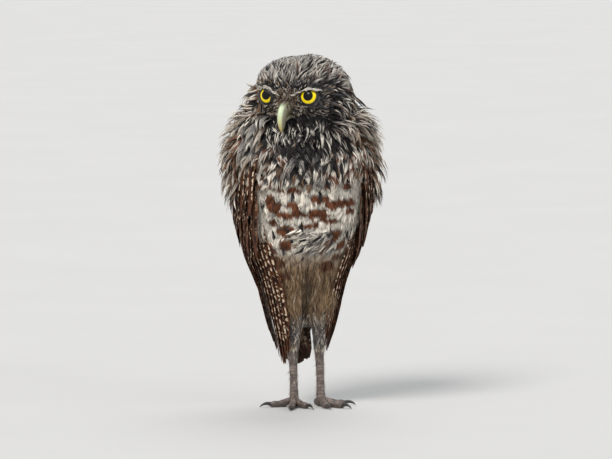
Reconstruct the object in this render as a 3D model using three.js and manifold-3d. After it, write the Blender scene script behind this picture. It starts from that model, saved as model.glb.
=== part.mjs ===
// A burrowing owl caught in the rain: life size, upright on long legs, its soaked coat in points
// and its head turned to its right. Millimetres, +Z up. The body faces -Y, its left side is +X,
// and the origin is on the floor under the middle of the bounding box.
import * as THREE from "three";
import { mergeVertices } from "three/addons/utils/BufferGeometryUtils.js";
import Module from "manifold-3d";

const wasm = await Module();
wasm.setup();

// Driving dimensions
const GAP = 0.3; // clearance kept where one node meets the next
const VANE = 0.62; // thickness of a flight feather
const LOCK = 0.75; // thickness of a point of wet feathers
const SWAY = 4; // how far the legs and tail stand to the owl's left of the head
const SWAY_STARTS = 125; // the height below which the body leans over its feet
const HEAD_CENTRE = [0, -3, 209];
const HEAD_TURN = -31; // degrees about +Z, towards the owl's right
const HEAD_HALF = { width: 33, front: 25, back: 29, up: 25.5, down: 25 };
const NECK_TOP = 190.5; // the cut between head and neck
const NECK_FOOT = 176; // the cut between neck and torso
const EYE_RADIUS = 8.5;
const EYE_PLACE = [14, -17.5, -0.5]; // the left eye's centre in the head's frame
const EYE_SPLAY = 12; // degrees that each eye looks outwards
const IRIS_OPENING = 5.9; // radius of the round opening between the lids
const HEEL_HEIGHT = 41; // where the feathered thigh ends on the bare shank
const ANKLE_HEIGHT = 7;
const STANCE = 9; // half the distance between the legs
const TOE_RADIUS = 2.3;
const CLAW_LENGTH = 7.5;
const WING_TOP = 175; // just under the neck
const WING_RISE = { left: 9, right: 0 }; // how much higher each wing's tip ends than the lower one
const TAIL_TIP = 24;

// Flight feathers from the front one to the back one: where each ends
const PRIMARY_TIPS = [46, 36, 27, 30, 38, 48, 59];
const SECONDARY_TIPS = [63, 67, 72, 78, 84, 90, 96];
const TAIL_FEATHERS = 10;

// Rows of points round the neck: how many, and the heights of their roots and tips
const RUFF_ROWS = [
  { count: 19, half: 6.4, root: 180, tip: 160, lift: 0.2, flare: 1.2 },
  { count: 18, half: 6, root: 184, tip: 167, lift: 1.7, flare: 3.6 },
  { count: 17, half: 5.6, root: 188, tip: 175, lift: 3.2, flare: 6.4 },
];

// The body's half width, middle and half depth at each height, without the wings
const BODY = [
  { z: 52, wide: 8, mid: 13, deep: 8 },
  { z: 60, wide: 15, mid: 11, deep: 14 },
  { z: 70, wide: 21.5, mid: 8, deep: 20.5 },
  { z: 82, wide: 26.5, mid: 5, deep: 26 },
  { z: 96, wide: 31.5, mid: 2.2, deep: 31 },
  { z: 112, wide: 36.5, mid: 0, deep: 35 },
  { z: 130, wide: 41.5, mid: -1.2, deep: 36.7 },
  { z: 148, wide: 44.5, mid: -2, deep: 37 },
  { z: 164, wide: 46.5, mid: -2, deep: 36 },
  { z: 176, wide: 45, mid: -1, deep: 33.5 },
  { z: 186, wide: 40.5, mid: -0.5, deep: 30.5 },
  { z: 193, wide: 35, mid: 0, deep: 27.5 },
  { z: 199, wide: 28, mid: 0, deep: 22 },
];
// The surface that the folded wings lie in: its outside
const WING_LAY = [
  { z: 24, wide: 15.5, mid: 22, deep: 17 },
  { z: 40, wide: 19.5, mid: 17.5, deep: 23 },
  { z: 56, wide: 24, mid: 13.5, deep: 28.5 },
  { z: 72, wide: 28.5, mid: 9.5, deep: 32 },
  { z: 88, wide: 33.5, mid: 5.5, deep: 35.5 },
  { z: 104, wide: 40, mid: 2.5, deep: 39 },
  { z: 122, wide: 45.5, mid: 0, deep: 41.5 },
  { z: 140, wide: 49.5, mid: -1.5, deep: 42.5 },
  { z: 156, wide: 52, mid: -2, deep: 42 },
  { z: 170, wide: 51, mid: -1.5, deep: 40 },
  { z: 184, wide: 46, mid: 0, deep: 35.5 },
];

// The surface that the neck's points hang in, clear of the wings
const RUFF_LAY = [
  { z: 150, wide: 55.5, mid: -2, deep: 44.5 },
  { z: 158, wide: 56, mid: -2, deep: 44.5 },
  { z: 166, wide: 55.5, mid: -2, deep: 43.5 },
  { z: 174, wide: 53.5, mid: -1, deep: 41 },
  { z: 180, wide: 49, mid: -0.5, deep: 36.5 },
  { z: 186, wide: 44.5, mid: -0.5, deep: 32.5 },
  { z: 192, wide: 39, mid: 0, deep: 29.5 },
];

const radians = (degrees) => (degrees * Math.PI) / 180;
const lerp = THREE.MathUtils.lerp;
const smoothstep = THREE.MathUtils.smoothstep;
const vector = (x, y, z) => new THREE.Vector3(x, y, z);

function sway(z) {
  return SWAY * smoothstep(SWAY_STARTS - z, 0, SWAY_STARTS);
}

// A smooth function through (z, value) stations, flat where they turn
function throughStations(stations, key) {
  const x = stations.map((s) => s.z);
  const y = stations.map((s) => s[key]);
  const last = x.length - 1;
  const rise = x.slice(1).map((_, i) => (y[i + 1] - y[i]) / (x[i + 1] - x[i]));
  const slope = x.map((_, i) => {
    if (i === 0) return rise[0];
    if (i === last) return rise[last - 1];
    return rise[i - 1] * rise[i] <= 0 ? 0 : (2 * rise[i - 1] * rise[i]) / (rise[i - 1] + rise[i]);
  });
  return (at) => {
    const t = Math.min(Math.max(at, x[0]), x[last]);
    const i = Math.min(last - 1, x.filter((v) => v <= t).length - 1);
    const h = x[i + 1] - x[i];
    const s = (t - x[i]) / h;
    const [s2, s3] = [s * s, s * s * s];
    return (
      (2 * s3 - 3 * s2 + 1) * y[i] +
      (s3 - 2 * s2 + s) * h * slope[i] +
      (3 * s2 - 2 * s3) * y[i + 1] +
      (s3 - s2) * h * slope[i + 1]
    );
  };
}

// An upright surface of oval sections. Angle 0 is the front and 90 the owl's left, and lift is
// how far outside the surface the point lies.
function ovalSurface(stations) {
  const wide = throughStations(stations, "wide");
  const mid = throughStations(stations, "mid");
  const deep = throughStations(stations, "deep");
  return (z, angle, lift = 0) => {
    const a = radians(angle);
    return vector(
      sway(z) + (wide(z) + lift) * Math.sin(a),
      mid(z) - (deep(z) + lift) * Math.cos(a),
      z,
    );
  };
}
const bodySurface = ovalSurface(BODY);
const wingSurface = ovalSurface(WING_LAY);
const ruffSurface = ovalSurface(RUFF_LAY);

// Solids from vertices and triangles

function solidOf(points, triangles) {
  const flat = points.flatMap((p) => [p.x, p.y, p.z]);
  const geometry = new THREE.BufferGeometry();
  geometry.setAttribute("position", new THREE.Float32BufferAttribute(flat, 3));
  geometry.setIndex(triangles.flat());
  return solidFrom(geometry);
}

function solidFrom(geometry) {
  const bare = geometry.clone();
  bare.deleteAttribute("normal");
  bare.deleteAttribute("uv");
  const merged = mergeVertices(bare, 1e-4);
  const build = (order) =>
    new wasm.Manifold(
      new wasm.Mesh({
        numProp: 3,
        vertProperties: merged.attributes.position.array,
        triVerts: order,
      }),
    );
  const order = new Uint32Array(merged.index.array);
  const made = build(order);
  return made.volume() > 0 ? made : build(order.reverse());
}

// A closed body through rings of points, each end closed by a fan
function loft(rings) {
  const count = rings[0].length;
  const points = rings.flat();
  const triangles = [];
  for (let i = 0; i + 1 < rings.length; i++)
    for (let j = 0; j < count; j++) {
      const [a, b] = [i * count + j, i * count + ((j + 1) % count)];
      triangles.push([a, b, b + count], [a, b + count, a + count]);
    }
  [0, rings.length - 1].forEach((row, end) => {
    const centre = rings[row].reduce((sum, p) => sum.add(p), vector(0, 0, 0)).divideScalar(count);
    const hub = points.push(centre) - 1;
    for (let j = 0; j < count; j++) {
      const [a, b] = [row * count + j, row * count + ((j + 1) % count)];
      triangles.push(end ? [a, b, hub] : [b, a, hub]);
    }
  });
  return solidOf(points, triangles);
}

// A closed sheet between two grids of points, split alike on both faces
function sheet(outer, inner) {
  const [rows, columns] = [outer.length, outer[0].length];
  const points = [...outer.flat(), ...inner.flat()];
  const under = rows * columns;
  const at = (i, j) => i * columns + j;
  const triangles = [];
  for (let i = 0; i + 1 < rows; i++)
    for (let j = 0; j + 1 < columns; j++) {
      const [a, b, c, d] = [at(i, j), at(i, j + 1), at(i + 1, j + 1), at(i + 1, j)];
      triangles.push([a, b, c], [a, c, d]);
      triangles.push([under + a, under + c, under + b], [under + a, under + d, under + c]);
    }
  const rim = [];
  for (let j = 0; j < columns - 1; j++) rim.push(at(0, j));
  for (let i = 0; i < rows - 1; i++) rim.push(at(i, columns - 1));
  for (let j = columns - 1; j > 0; j--) rim.push(at(rows - 1, j));
  for (let i = rows - 1; i > 0; i--) rim.push(at(i, 0));
  rim.forEach((a, k) => {
    const b = rim[(k + 1) % rim.length];
    triangles.push([b, a, under + a], [b, under + a, under + b]);
  });
  return solidOf(points, triangles);
}

// A round body that follows a centreline, with a radius along and across the line's own plane
function limb(line, radii, sides, steps, sideways = vector(1, 0, 0)) {
  const curve = new THREE.CatmullRomCurve3(line.map((p) => vector(...p)));
  const width = throughStations(radii.map(([z, wide]) => ({ z, wide })), "wide");
  const depth = throughStations(radii.map(([z, , deep]) => ({ z, deep })), "deep");
  const rings = [];
  for (let i = 0; i <= steps; i++) {
    const t = i / steps;
    const centre = curve.getPoint(t);
    const along = curve.getTangent(t);
    const front = sideways.clone().cross(along).normalize();
    const side = along.clone().cross(front).normalize();
    rings.push(
      Array.from({ length: sides }, (_, j) => {
        const a = (2 * Math.PI * j) / sides;
        return centre
          .clone()
          .addScaledVector(side, width(t) * Math.cos(a))
          .addScaledVector(front, depth(t) * Math.sin(a));
      }),
    );
  }
  return loft(rings);
}

// A repeatable draw between -1 and 1
function makeDraw(seed) {
  let state = seed;
  return () => {
    state = (Math.imul(state, 1664525) + 1013904223) >>> 0;
    return (2 * state) / 4294967296 - 1;
  };
}

// A flat feather on a surface that point(height, angle, lift) gives. Its line runs from root to
// tip, widths are half widths from root to tip, and tilt raises the edge of the lesser angle.
function feather(point, line, { widths, thick, tilt = 0 }) {
  const curve = new THREE.CatmullRomCurve3(line.map((p) => vector(...p)));
  const rows = widths.length;
  const placed = (t) => point(...curve.getPoint(Math.min(Math.max(t, 0), 1)).toArray());
  const outer = [];
  const inner = [];
  widths.forEach((half, i) => {
    const t = i / (rows - 1);
    const [height, angle, lift] = curve.getPoint(t).toArray();
    const middle = point(height, angle, lift);
    const out = point(height, angle, lift + 1).sub(middle);
    const along = placed(t + 0.05).sub(placed(t - 0.05)).normalize();
    const round = point(height, angle - 1, lift).sub(point(height, angle + 1, lift));
    const across = round.addScaledVector(along, -round.dot(along)).normalize();
    const normal = across.clone().cross(along);
    normal.multiplyScalar(Math.sign(normal.dot(out)));
    const faces = (up) =>
      [1, -1].map((edge) =>
        middle
          .clone()
          .addScaledVector(across, edge * half)
          .addScaledVector(normal, up + edge * tilt),
      );
    const thin = thick * (i === rows - 1 ? 0.7 : 1);
    outer.push(faces(thin / 2));
    inner.push(faces(-thin / 2));
  });
  return sheet(outer, inner);
}

// Half widths from root to tip of a vane with a round end and of a point of wet feathers
function vaneWidths(half) {
  return [0.4, 0.82, 1, 1, 0.88, 0.4].map((w) => w * half);
}
function lockWidths(half) {
  return [0.45, 1, 0.75, 0.12].map((w) => w * half);
}

function union(solids) {
  return wasm.Manifold.union(solids);
}

function largestBody(solid) {
  return solid.decompose().reduce((best, s) => (s.volume() > best.volume() ? s : best));
}

// Everything above or below a level
function above(solid, z) {
  return solid.trimByPlane([0, 0, 1], z);
}
function below(solid, z) {
  return solid.trimByPlane([0, 0, -1], -z);
}

// Head: a surface at a distance from the head's centre that depends on the direction alone

function bump(direction, towards, spread) {
  const t = vector(...towards).normalize();
  return Math.exp(-direction.clone().sub(t).lengthSq() / (spread * spread));
}

function headReach(direction) {
  const { x, y, z } = direction;
  const h = HEAD_HALF;
  const power = 2.25;
  const sum =
    Math.abs(x / h.width) ** power +
    Math.abs(y / (y < 0 ? h.front : h.back)) ** power +
    Math.abs(z / (z < 0 ? h.down : h.up)) ** power;
  let reach = sum ** (-1 / power);
  const mirrored = vector(Math.abs(x), y, z);
  reach -= 4.2 * bump(mirrored, [0.55, -0.83, -0.02], 0.26); // the hollow of each eye
  reach += 3.0 * bump(mirrored, [0.3, -0.92, 0.3], 0.22); // the inner brow
  reach += 2.2 * bump(mirrored, [0.66, -0.68, 0.36], 0.22); // the outer brow
  reach += 3.5 * bump(direction, [0, -1, -0.28], 0.26); // the bristled base of the bill
  reach += 1.8 * bump(mirrored, [0.75, -0.5, -0.45], 0.35); // the cheek
  reach -= 1.2 * bump(direction, [0, -0.75, 0.66], 0.22); // the crease of the forehead
  return reach;
}

function headPoint(around, up, grow = 0) {
  const [a, b] = [radians(around), radians(up)];
  const direction = vector(
    Math.sin(a) * Math.cos(b),
    -Math.cos(a) * Math.cos(b),
    Math.sin(b),
  );
  return direction.clone().multiplyScalar(headReach(direction) + grow);
}

// A point or solid from the head's own frame, where the face looks along -Y
function placeHeadPoint(p) {
  return p.applyAxisAngle(vector(0, 0, 1), radians(HEAD_TURN)).add(vector(...HEAD_CENTRE));
}
function placeHead(solid) {
  return solid.rotate([0, 0, HEAD_TURN]).translate(HEAD_CENTRE);
}

function skull(grow = 0) {
  const [columns, rows] = [30, 17];
  const rings = [];
  for (let i = 1; i < rows; i++)
    rings.push(
      Array.from({ length: columns }, (_, j) =>
        headPoint((360 * j) / columns, -90 + (180 * i) / rows, grow),
      ),
    );
  return loft(rings);
}

function eyeCentre(side) {
  const [x, y, z] = EYE_PLACE;
  return vector(side * x, y, z);
}

function eyeBall(radius) {
  return solidFrom(new THREE.SphereGeometry(radius, 16, 9));
}

// A lid: a soft ring round the opening, heavier above than below
function lids(side) {
  const out = Math.sqrt(EYE_RADIUS ** 2 - IRIS_OPENING ** 2);
  const sides = 4;
  const steps = 16;
  const rings = Array.from({ length: steps }, (_, i) => {
    const a = (2 * Math.PI * i) / steps;
    const thick = 1.05 + 0.45 * Math.max(0, Math.sin(a));
    const radial = vector(Math.cos(a), 0, Math.sin(a));
    const centre = radial.clone().multiplyScalar(IRIS_OPENING + thick * 0.75);
    centre.y = -(out - 0.1);
    return Array.from({ length: sides }, (_, j) => {
      const b = (2 * Math.PI * j) / sides;
      return centre
        .clone()
        .addScaledVector(radial, thick * Math.cos(b))
        .add(vector(0, thick * 0.9 * Math.sin(b), 0));
    });
  });
  const points = rings.flat();
  const triangles = [];
  rings.forEach((_, i) => {
    const next = (i + 1) % steps;
    for (let j = 0; j < sides; j++) {
      const k = (j + 1) % sides;
      const [a, b, c, d] = [i * sides + j, i * sides + k, next * sides + k, next * sides + j];
      triangles.push([a, b, c], [a, c, d]);
    }
  });
  const [x, y, z] = eyeCentre(side).toArray();
  return solidOf(points, triangles).rotate([0, 0, side * EYE_SPLAY]).translate([x, y, z]);
}

function headBase() {
  const sockets = [1, -1].map((side) =>
    eyeBall(EYE_RADIUS + GAP).translate(eyeCentre(side).toArray()),
  );
  const solid = union([skull(), lids(1), lids(-1)]).subtract(union(sockets));
  return placeHead(solid);
}

// Points of wet feathers round the sides and back of the head: how high their roots are, the
// angles that each row runs between, how many degrees each reaches down and how far it flares
const HEAD_ROWS = [
  { up: 30, from: 64, to: 296, count: 12, reach: 30, flare: 3.4 },
  { up: -1, from: 60, to: 300, count: 13, reach: 20, flare: 9.5 },
];

function headLocks() {
  const draw = makeDraw(11);
  const point = (up, around, lift) => placeHeadPoint(headPoint(around, up, lift));
  return HEAD_ROWS.flatMap(({ up, from, to, count, reach, flare }) =>
    Array.from({ length: count }, (_, i) => {
      const around = lerp(from, to, i / (count - 1)) + 3 * draw();
      const fall = reach * (1 + 0.12 * draw());
      const drift = 5 * draw() + 5 * Math.sign(180 - around);
      const line = [
        [up, around, -1.8],
        [up - fall * 0.3, around + drift * 0.2, 0.6 + 0.12 * flare],
        [up - fall * 0.7, around + drift * 0.6, flare * 0.55],
        [up - fall, around + drift, flare * (1 + 0.15 * draw())],
      ];
      return feather(point, line, { widths: lockWidths(4.8), thick: LOCK });
    }),
  );
}

// Bill: a ridge that runs forward and hooks down, over a short lower half

const BILL_RIDGE = [
  [0, -22, -1.5],
  [0, -30.5, -2.2],
  [0, -35.6, -6.5],
  [0, -36.9, -12.5],
  [0, -35.6, -17.5],
  [0, -33.9, -20.8],
];
const LOWER_BILL = [
  [0, -22, -12.5],
  [0, -29, -13.6],
  [0, -32.2, -16.2],
];

function billUpper() {
  const radii = [
    [0, 4.9, 5.8],
    [0.3, 4.6, 5.2],
    [0.5, 3.9, 4.3],
    [0.7, 2.8, 3.1],
    [0.88, 1.6, 1.8],
    [1, 0.45, 0.5],
  ];
  const sunk = BILL_RIDGE.map(([x, y, z], i) => {
    const inward = i < 2 ? 2.4 : 3.1 - 0.5 * i;
    return [x, y + inward, z - 4 + 0.75 * i];
  });
  const horn = limb(sunk, radii, 10, 10);
  const nostrils = [1, -1].map((side) =>
    solidFrom(new THREE.SphereGeometry(1.0, 8, 6)).translate([side * 3.7, -31.4, -5.6]),
  );
  return horn.subtract(union(nostrils));
}

function billLower() {
  const radii = [
    [0, 3.7, 1.9],
    [0.5, 3, 1.6],
    [1, 0.8, 0.5],
  ];
  return limb(LOWER_BILL, radii, 10, 5);
}

// Body, parted into neck and torso

function bodySolid(grow = 0) {
  const columns = 24;
  const [low, high, steps] = [BODY[0].z, BODY[BODY.length - 1].z, 16];
  const rings = [];
  for (let i = 0; i <= steps; i++)
    rings.push(
      Array.from({ length: columns }, (_, j) =>
        bodySurface(lerp(low - grow, high, i / steps), (360 * j) / columns, grow),
      ),
    );
  return loft(rings);
}

// Wing: one smooth plate that lies in the wing surface out to its tip

// The angles of a folded wing's front and back edges at each height
const WING_EDGES = [
  { z: 101, front: 50, back: 174 },
  { z: 140, front: 48, back: 167 },
  { z: 175, front: 48, back: 157 },
];
const wingFront = throughStations(WING_EDGES, "front");
const wingBack = throughStations(WING_EDGES, "back");

// A point of the wing surface on either side of the body
function wingPoint(side, z, angle, lift) {
  const p = wingSurface(z, angle, lift);
  return vector(side * (p.x - sway(z)) + sway(z), p.y, p.z);
}

// The flesh and small coverts of a wing, which its long feathers grow from
function wingCore(side) {
  const [rows, columns] = [6, 7];
  const grid = (lift) =>
    Array.from({ length: rows }, (_, i) => {
      const z = lerp(WING_TOP, 101, i / (rows - 1));
      const [front, back] = [wingFront(z) + 2, wingBack(z) - 3];
      return Array.from({ length: columns }, (_, j) =>
        wingPoint(side, z, lerp(front, back, j / (columns - 1)), lift),
      );
    });
  return sheet(grid(-4.2), grid(-8));
}

// One tier of a wing: feathers set side by side from the front edge to the back
function tier({ count, half, tilt, place }, side, draw) {
  const point = (z, angle, lift) => wingPoint(side, z, angle, lift);
  return Array.from({ length: count }, (_, i) => {
    const line = place(i / (count - 1), i, draw);
    return feather(point, line, { widths: vaneWidths(half), thick: VANE, tilt });
  });
}

function wingTiers(side, rise) {
  const lifted = (tip) => tip + rise * smoothstep(100 - tip, 0, 60);
  const primaries = {
    count: PRIMARY_TIPS.length,
    half: 4.3,
    tilt: 0.8,
    place: (f, i) => {
      const tip = lifted(PRIMARY_TIPS[i]);
      return [
        [lerp(124, 118, f), lerp(56, 106, f), -5.4],
        [lerp(124, tip, 0.33), lerp(57, 113, f), -5 + 0.22 * Math.min(i, 5)],
        [lerp(124, tip, 0.68), lerp(66, 122, f), -4.2 + 0.42 * Math.min(i, 5)],
        [tip, lerp(83, 130, f), -3.4 + 0.6 * Math.min(i, 5)],
      ];
    },
  };
  const secondaries = {
    count: SECONDARY_TIPS.length,
    half: 4.9,
    tilt: 0.8,
    place: (f, i) => {
      const tip = lifted(SECONDARY_TIPS[i]);
      return [
        [lerp(146, 142, f), lerp(78, 150, f), -5.4],
        [128, lerp(86, 157, f), -3.1],
        [lerp(100, 112, f), lerp(108, 165, f), -1.4 + 0.06 * i],
        [tip, lerp(130, 171, f), 0.6 + 0.1 * i],
      ];
    },
  };
  const coverts = {
    count: 7,
    half: 6.5,
    tilt: 0.6,
    place: (f, _, draw) => [
      [160, lerp(56, 151, f), -5.4],
      [147, lerp(56, 157, f), -1.9],
      [lerp(126, 134, f), lerp(57, 163, f), -0.7],
      [lerp(104, 119, f) + 2 * draw(), lerp(61, 168, f), 0.2],
    ],
  };
  const upperCoverts = {
    count: 6,
    half: 7.3,
    tilt: 0.55,
    place: (f, _, draw) => [
      [171, lerp(56, 149, f), -5.4],
      [162, lerp(56, 154, f), -1],
      [150, lerp(56, 159, f), 0.6],
      [lerp(130, 139, f) + 2 * draw(), lerp(58, 165, f), 1.6],
    ],
  };
  const draw = makeDraw(side > 0 ? 21 : 22);
  return [primaries, secondaries, coverts, upperCoverts].flatMap((t) => tier(t, side, draw));
}

// The ragged points of the shoulder, which stand away from the wing at their tips
function shoulderPoints(side) {
  const draw = makeDraw(side > 0 ? 31 : 32);
  const point = (z, angle, lift) => wingPoint(side, z, angle, lift);
  const count = 8;
  return Array.from({ length: count }, (_, i) => {
    const angle = lerp(55, 150, i / (count - 1)) + draw();
    const tip = 144 + 6 * draw();
    const flare = 5.6 + 1.6 * draw();
    const drift = 2 * draw();
    const line = [
      [173, angle, -5.4],
      [165, angle, 0.3],
      [157, angle + drift * 0.5, 2.2],
      [tip, angle + drift, flare],
    ];
    return feather(point, line, { widths: lockWidths(4.1), thick: LOCK, tilt: 0.5 });
  });
}

// Neck: rows of points that hang like a cape over the breast, shoulders and back

function ruffPoint(z, angle, lift) {
  const bare = Math.abs(((angle + 540) % 360) - 180);
  const chest = 3.4 * (1 - smoothstep(bare, 22, 42));
  const back = 2.6 * smoothstep(bare, 158, 176);
  return ruffSurface(z, angle, lift - chest - back);
}

function ruff() {
  const draw = makeDraw(41);
  return RUFF_ROWS.flatMap(({ count, half, root, tip, lift, flare }, row) =>
    Array.from({ length: count }, (_, i) => {
      const angle = (360 * (i + 0.5 * (row % 2))) / count + draw();
      const end = tip + 2 * draw();
      const drift = 2 * draw();
      const line = [
        [root, angle, -6],
        [lerp(root, end, 0.2), angle, lift],
        [lerp(root, end, 0.6), angle + drift * 0.4, lerp(lift, flare, 0.45)],
        [end, angle + drift, flare + 0.5 * draw()],
      ];
      return feather(ruffPoint, line, { widths: lockWidths(half), thick: LOCK });
    }),
  );
}

// Tail: long feathers stacked from the middle pair outwards, joined by the rump

function tailPoint(z, across, out) {
  const t = (88 - z) / (88 - TAIL_TIP);
  return vector(sway(z) + across, lerp(22, 35, t) + out, z);
}

function tailFan() {
  const rump = [
    [tailPoint(90, -8, 1), tailPoint(90, 8, 1)],
    [tailPoint(64, -9, 1), tailPoint(64, 9, 1)],
  ];
  const under = rump.map((row) => row.map((p) => p.clone().add(vector(0, -4.6, 0))));
  const middle = (TAIL_FEATHERS - 1) / 2;
  const feathers = Array.from({ length: TAIL_FEATHERS }, (_, i) => {
    const place = i - middle;
    const away = Math.abs(place);
    const [from, to] = [place * 0.9, place * 1.9];
    const layer = 0.6 - 0.92 * (away - 0.5) - (place < 0 ? 0.46 : 0);
    const line = [
      [88, from, layer],
      [68, lerp(from, to, 0.35), layer],
      [46, lerp(from, to, 0.7), layer],
      [TAIL_TIP + 0.7 * away, to, layer + 0.3],
    ];
    return feather(tailPoint, line, { widths: vaneWidths(4), thick: VANE });
  });
  return union([sheet(rump, under), ...feathers]);
}

// Legs

function legX(side) {
  return SWAY + side * STANCE;
}

function thigh(side) {
  const x = legX(side);
  const line = [
    [x + side * 1.5, -2, 92],
    [x + side * 0.8, -1, 74],
    [x, 3.5, 57],
    [x, 8, HEEL_HEIGHT - 5],
  ];
  const radii = [
    [0, 10, 15],
    [0.35, 9.6, 13.5],
    [0.62, 7.4, 9.5],
    [0.85, 4.6, 5.8],
    [1, 3.4, 4.2],
  ];
  return limb(line, radii, 10, 7);
}

function shank(side) {
  const x = legX(side);
  const line = [
    [x, 7.5, HEEL_HEIGHT + 8],
    [x, 8.6, HEEL_HEIGHT],
    [x, 4.5, 24],
    [x, 0.5, 4],
  ];
  const radii = [
    [0, 3.4, 4.2],
    [0.25, 3.9, 4.6],
    [0.5, 3.0, 3.2],
    [0.8, 2.6, 2.7],
    [1, 3.2, 3.2],
  ];
  return limb(line, radii, 10, 9);
}

const TOES = {
  left: [
    { name: "inner", turn: 8, length: 15 },
    { name: "middle", turn: 42, length: 19 },
    { name: "outer", turn: 92, length: 16 },
    { name: "hind", turn: 188, length: 10 },
  ],
  right: [
    { name: "inner", turn: 27, length: 15 },
    { name: "middle", turn: -14, length: 19 },
    { name: "outer", turn: -84, length: 16 },
    { name: "hind", turn: 172, length: 10 },
  ],
};

function toeDirection(turn) {
  return vector(Math.sin(radians(turn)), -Math.cos(radians(turn)), 0);
}

function toe(side, { turn, length }) {
  const ahead = toeDirection(turn);
  const root = vector(legX(side), 0.5, 0);
  const across = vector(-ahead.y, ahead.x, 0);
  const heights = [4.0, 3.7, 2.3, 1.85, 1.8];
  const line = heights.map((h, i) => {
    const p = root.clone().addScaledVector(ahead, (length * i) / (heights.length - 1));
    return [p.x, p.y, h];
  });
  const r = TOE_RADIUS;
  const radii = [
    [0, r + 0.5, r + 0.6],
    [0.3, r - 0.2, r],
    [0.5, r + 0.1, r + 0.25],
    [0.68, r - 0.35, r - 0.15],
    [0.85, r, r + 0.1],
    [1, r - 0.75, r - 0.5],
  ];
  return limb(line, radii, 6, 7, across);
}

function foot(side, toes) {
  const ball = solidFrom(new THREE.SphereGeometry(3.9, 10, 6)).translate([legX(side), 0.5, 3.5]);
  return above(union([ball, ...toes.map((t) => toe(side, t))]), 0);
}

function claw(side, { turn, length }, hind) {
  const ahead = toeDirection(turn);
  const across = vector(-ahead.y, ahead.x, 0);
  const reach = CLAW_LENGTH * (hind ? 0.85 : 1);
  const root = vector(legX(side), 0.5, 0).addScaledVector(ahead, length + GAP * 1.5);
  const path = [
    [0, 1.9],
    [0.35, 2.6],
    [0.7, 2.1],
    [0.97, 0.6],
  ];
  const line = path.map(([f, h]) => {
    const p = root.clone().addScaledVector(ahead, f * reach);
    return [p.x, p.y, h];
  });
  const radii = [
    [0, 1.2, 1.4],
    [0.5, 0.85, 1.05],
    [1, 0.22, 0.28],
  ];
  return limb(line, radii, 6, 5, across);
}

// Assembly

const SKIN_FINISH = { roughness: 0.75, metalness: 0 };
const HORN_FINISH = { roughness: 0.4, metalness: 0 };
const FINISHES = {
  plumage: new THREE.MeshStandardMaterial({ color: 0x4a3a30, ...SKIN_FINISH }),
  breast: new THREE.MeshStandardMaterial({ color: 0x9c8a78, ...SKIN_FINISH }),
  flight: new THREE.MeshStandardMaterial({ color: 0x3a281e, ...SKIN_FINISH }),
  leg: new THREE.MeshStandardMaterial({ color: 0x5a4c42, ...SKIN_FINISH }),
  eye: new THREE.MeshStandardMaterial({ color: 0xe6c81e, roughness: 0.1, metalness: 0 }),
  bill: new THREE.MeshStandardMaterial({ color: 0xc9c48a, ...HORN_FINISH }),
  claw: new THREE.MeshStandardMaterial({ color: 0x1c1814, ...HORN_FINISH }),
};

const owl = new THREE.Group();

function addNode(name, solid, finish) {
  const mesh = largestBody(solid).getMesh();
  const geometry = new THREE.BufferGeometry();
  geometry.setAttribute("position", new THREE.BufferAttribute(mesh.vertProperties, 3));
  geometry.setIndex(new THREE.BufferAttribute(mesh.triVerts, 1));
  const node = new THREE.Mesh(geometry, finish);
  node.name = name;
  owl.add(node);
}

const body = bodySolid();
const bodyClear = bodySolid(GAP);
const headWhole = headBase();
const headClear = union([placeHead(skull(GAP)), bodyClear]);
const upper = placeHead(billUpper());
const lower = placeHead(billLower());
const upperClear = placeHead(billUpper().translate([0, 0, -GAP]));

const headCoat = union([headWhole, body, ...headLocks()]);
addNode("head", above(headCoat, NECK_TOP + GAP / 2), FINISHES.plumage);
const nape = above(below(body, NECK_TOP - GAP / 2), NECK_FOOT + GAP / 2);
addNode("neck", union([nape, ...ruff()]), FINISHES.plumage);
addNode("torso", below(body, NECK_FOOT - GAP / 2), FINISHES.breast);
addNode("bill_upper", upper.subtract(headClear), FINISHES.bill);
addNode("bill_lower", lower.subtract(union([headClear, upper, upperClear])), FINISHES.bill);

for (const [label, side] of [["left", 1], ["right", -1]]) {
  const place = placeHeadPoint(eyeCentre(side));
  addNode(`eye_${label}`, eyeBall(EYE_RADIUS).translate(place.toArray()), FINISHES.eye);
  const wing = union([wingCore(side), ...wingTiers(side, WING_RISE[label]), ...shoulderPoints(side)]);
  addNode(`wing_${label}`, wing.subtract(bodyClear), FINISHES.flight);
  const bone = shank(side);
  const toes = TOES[label];
  const upperLeg = above(union([thigh(side), bone]), HEEL_HEIGHT + GAP / 2);
  const lowerLeg = below(bone, HEEL_HEIGHT - GAP / 2);
  addNode(`thigh_${label}`, upperLeg.subtract(bodyClear), FINISHES.breast);
  addNode(`shank_${label}`, above(lowerLeg, ANKLE_HEIGHT + GAP / 2), FINISHES.leg);
  const sole = union([foot(side, toes), bone]);
  addNode(`foot_${label}`, below(sole, ANKLE_HEIGHT - GAP / 2), FINISHES.leg);
  for (const t of toes)
    addNode(`claw_${label}_${t.name}`, claw(side, t, t.name === "hind"), FINISHES.claw);
}
addNode("tail", tailFan().subtract(bodyClear), FINISHES.flight);

// The group is set down with the middle of its box over the origin
const box = new THREE.Box3().setFromObject(owl);
const centre = box.getCenter(vector(0, 0, 0));
owl.position.set(-centre.x, -centre.y, 0);

export default owl;
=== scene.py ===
"""A rain-soaked burrowing owl as a still, life-size model: skin, wet plumage, eyes, bill, legs and claws.

Shapes are worked out in millimetres in the owl's own frame, where the body faces -Y and its left side is +X,
and are moved into the part's frame, in metres, when a mesh is made.
"""
import logging
import math
from dataclasses import dataclass, field
from enum import Enum
from typing import Callable, Iterable, Optional, Sequence, Union

import bpy
import numpy as np
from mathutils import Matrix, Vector
from mathutils.bvhtree import BVHTree


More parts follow.
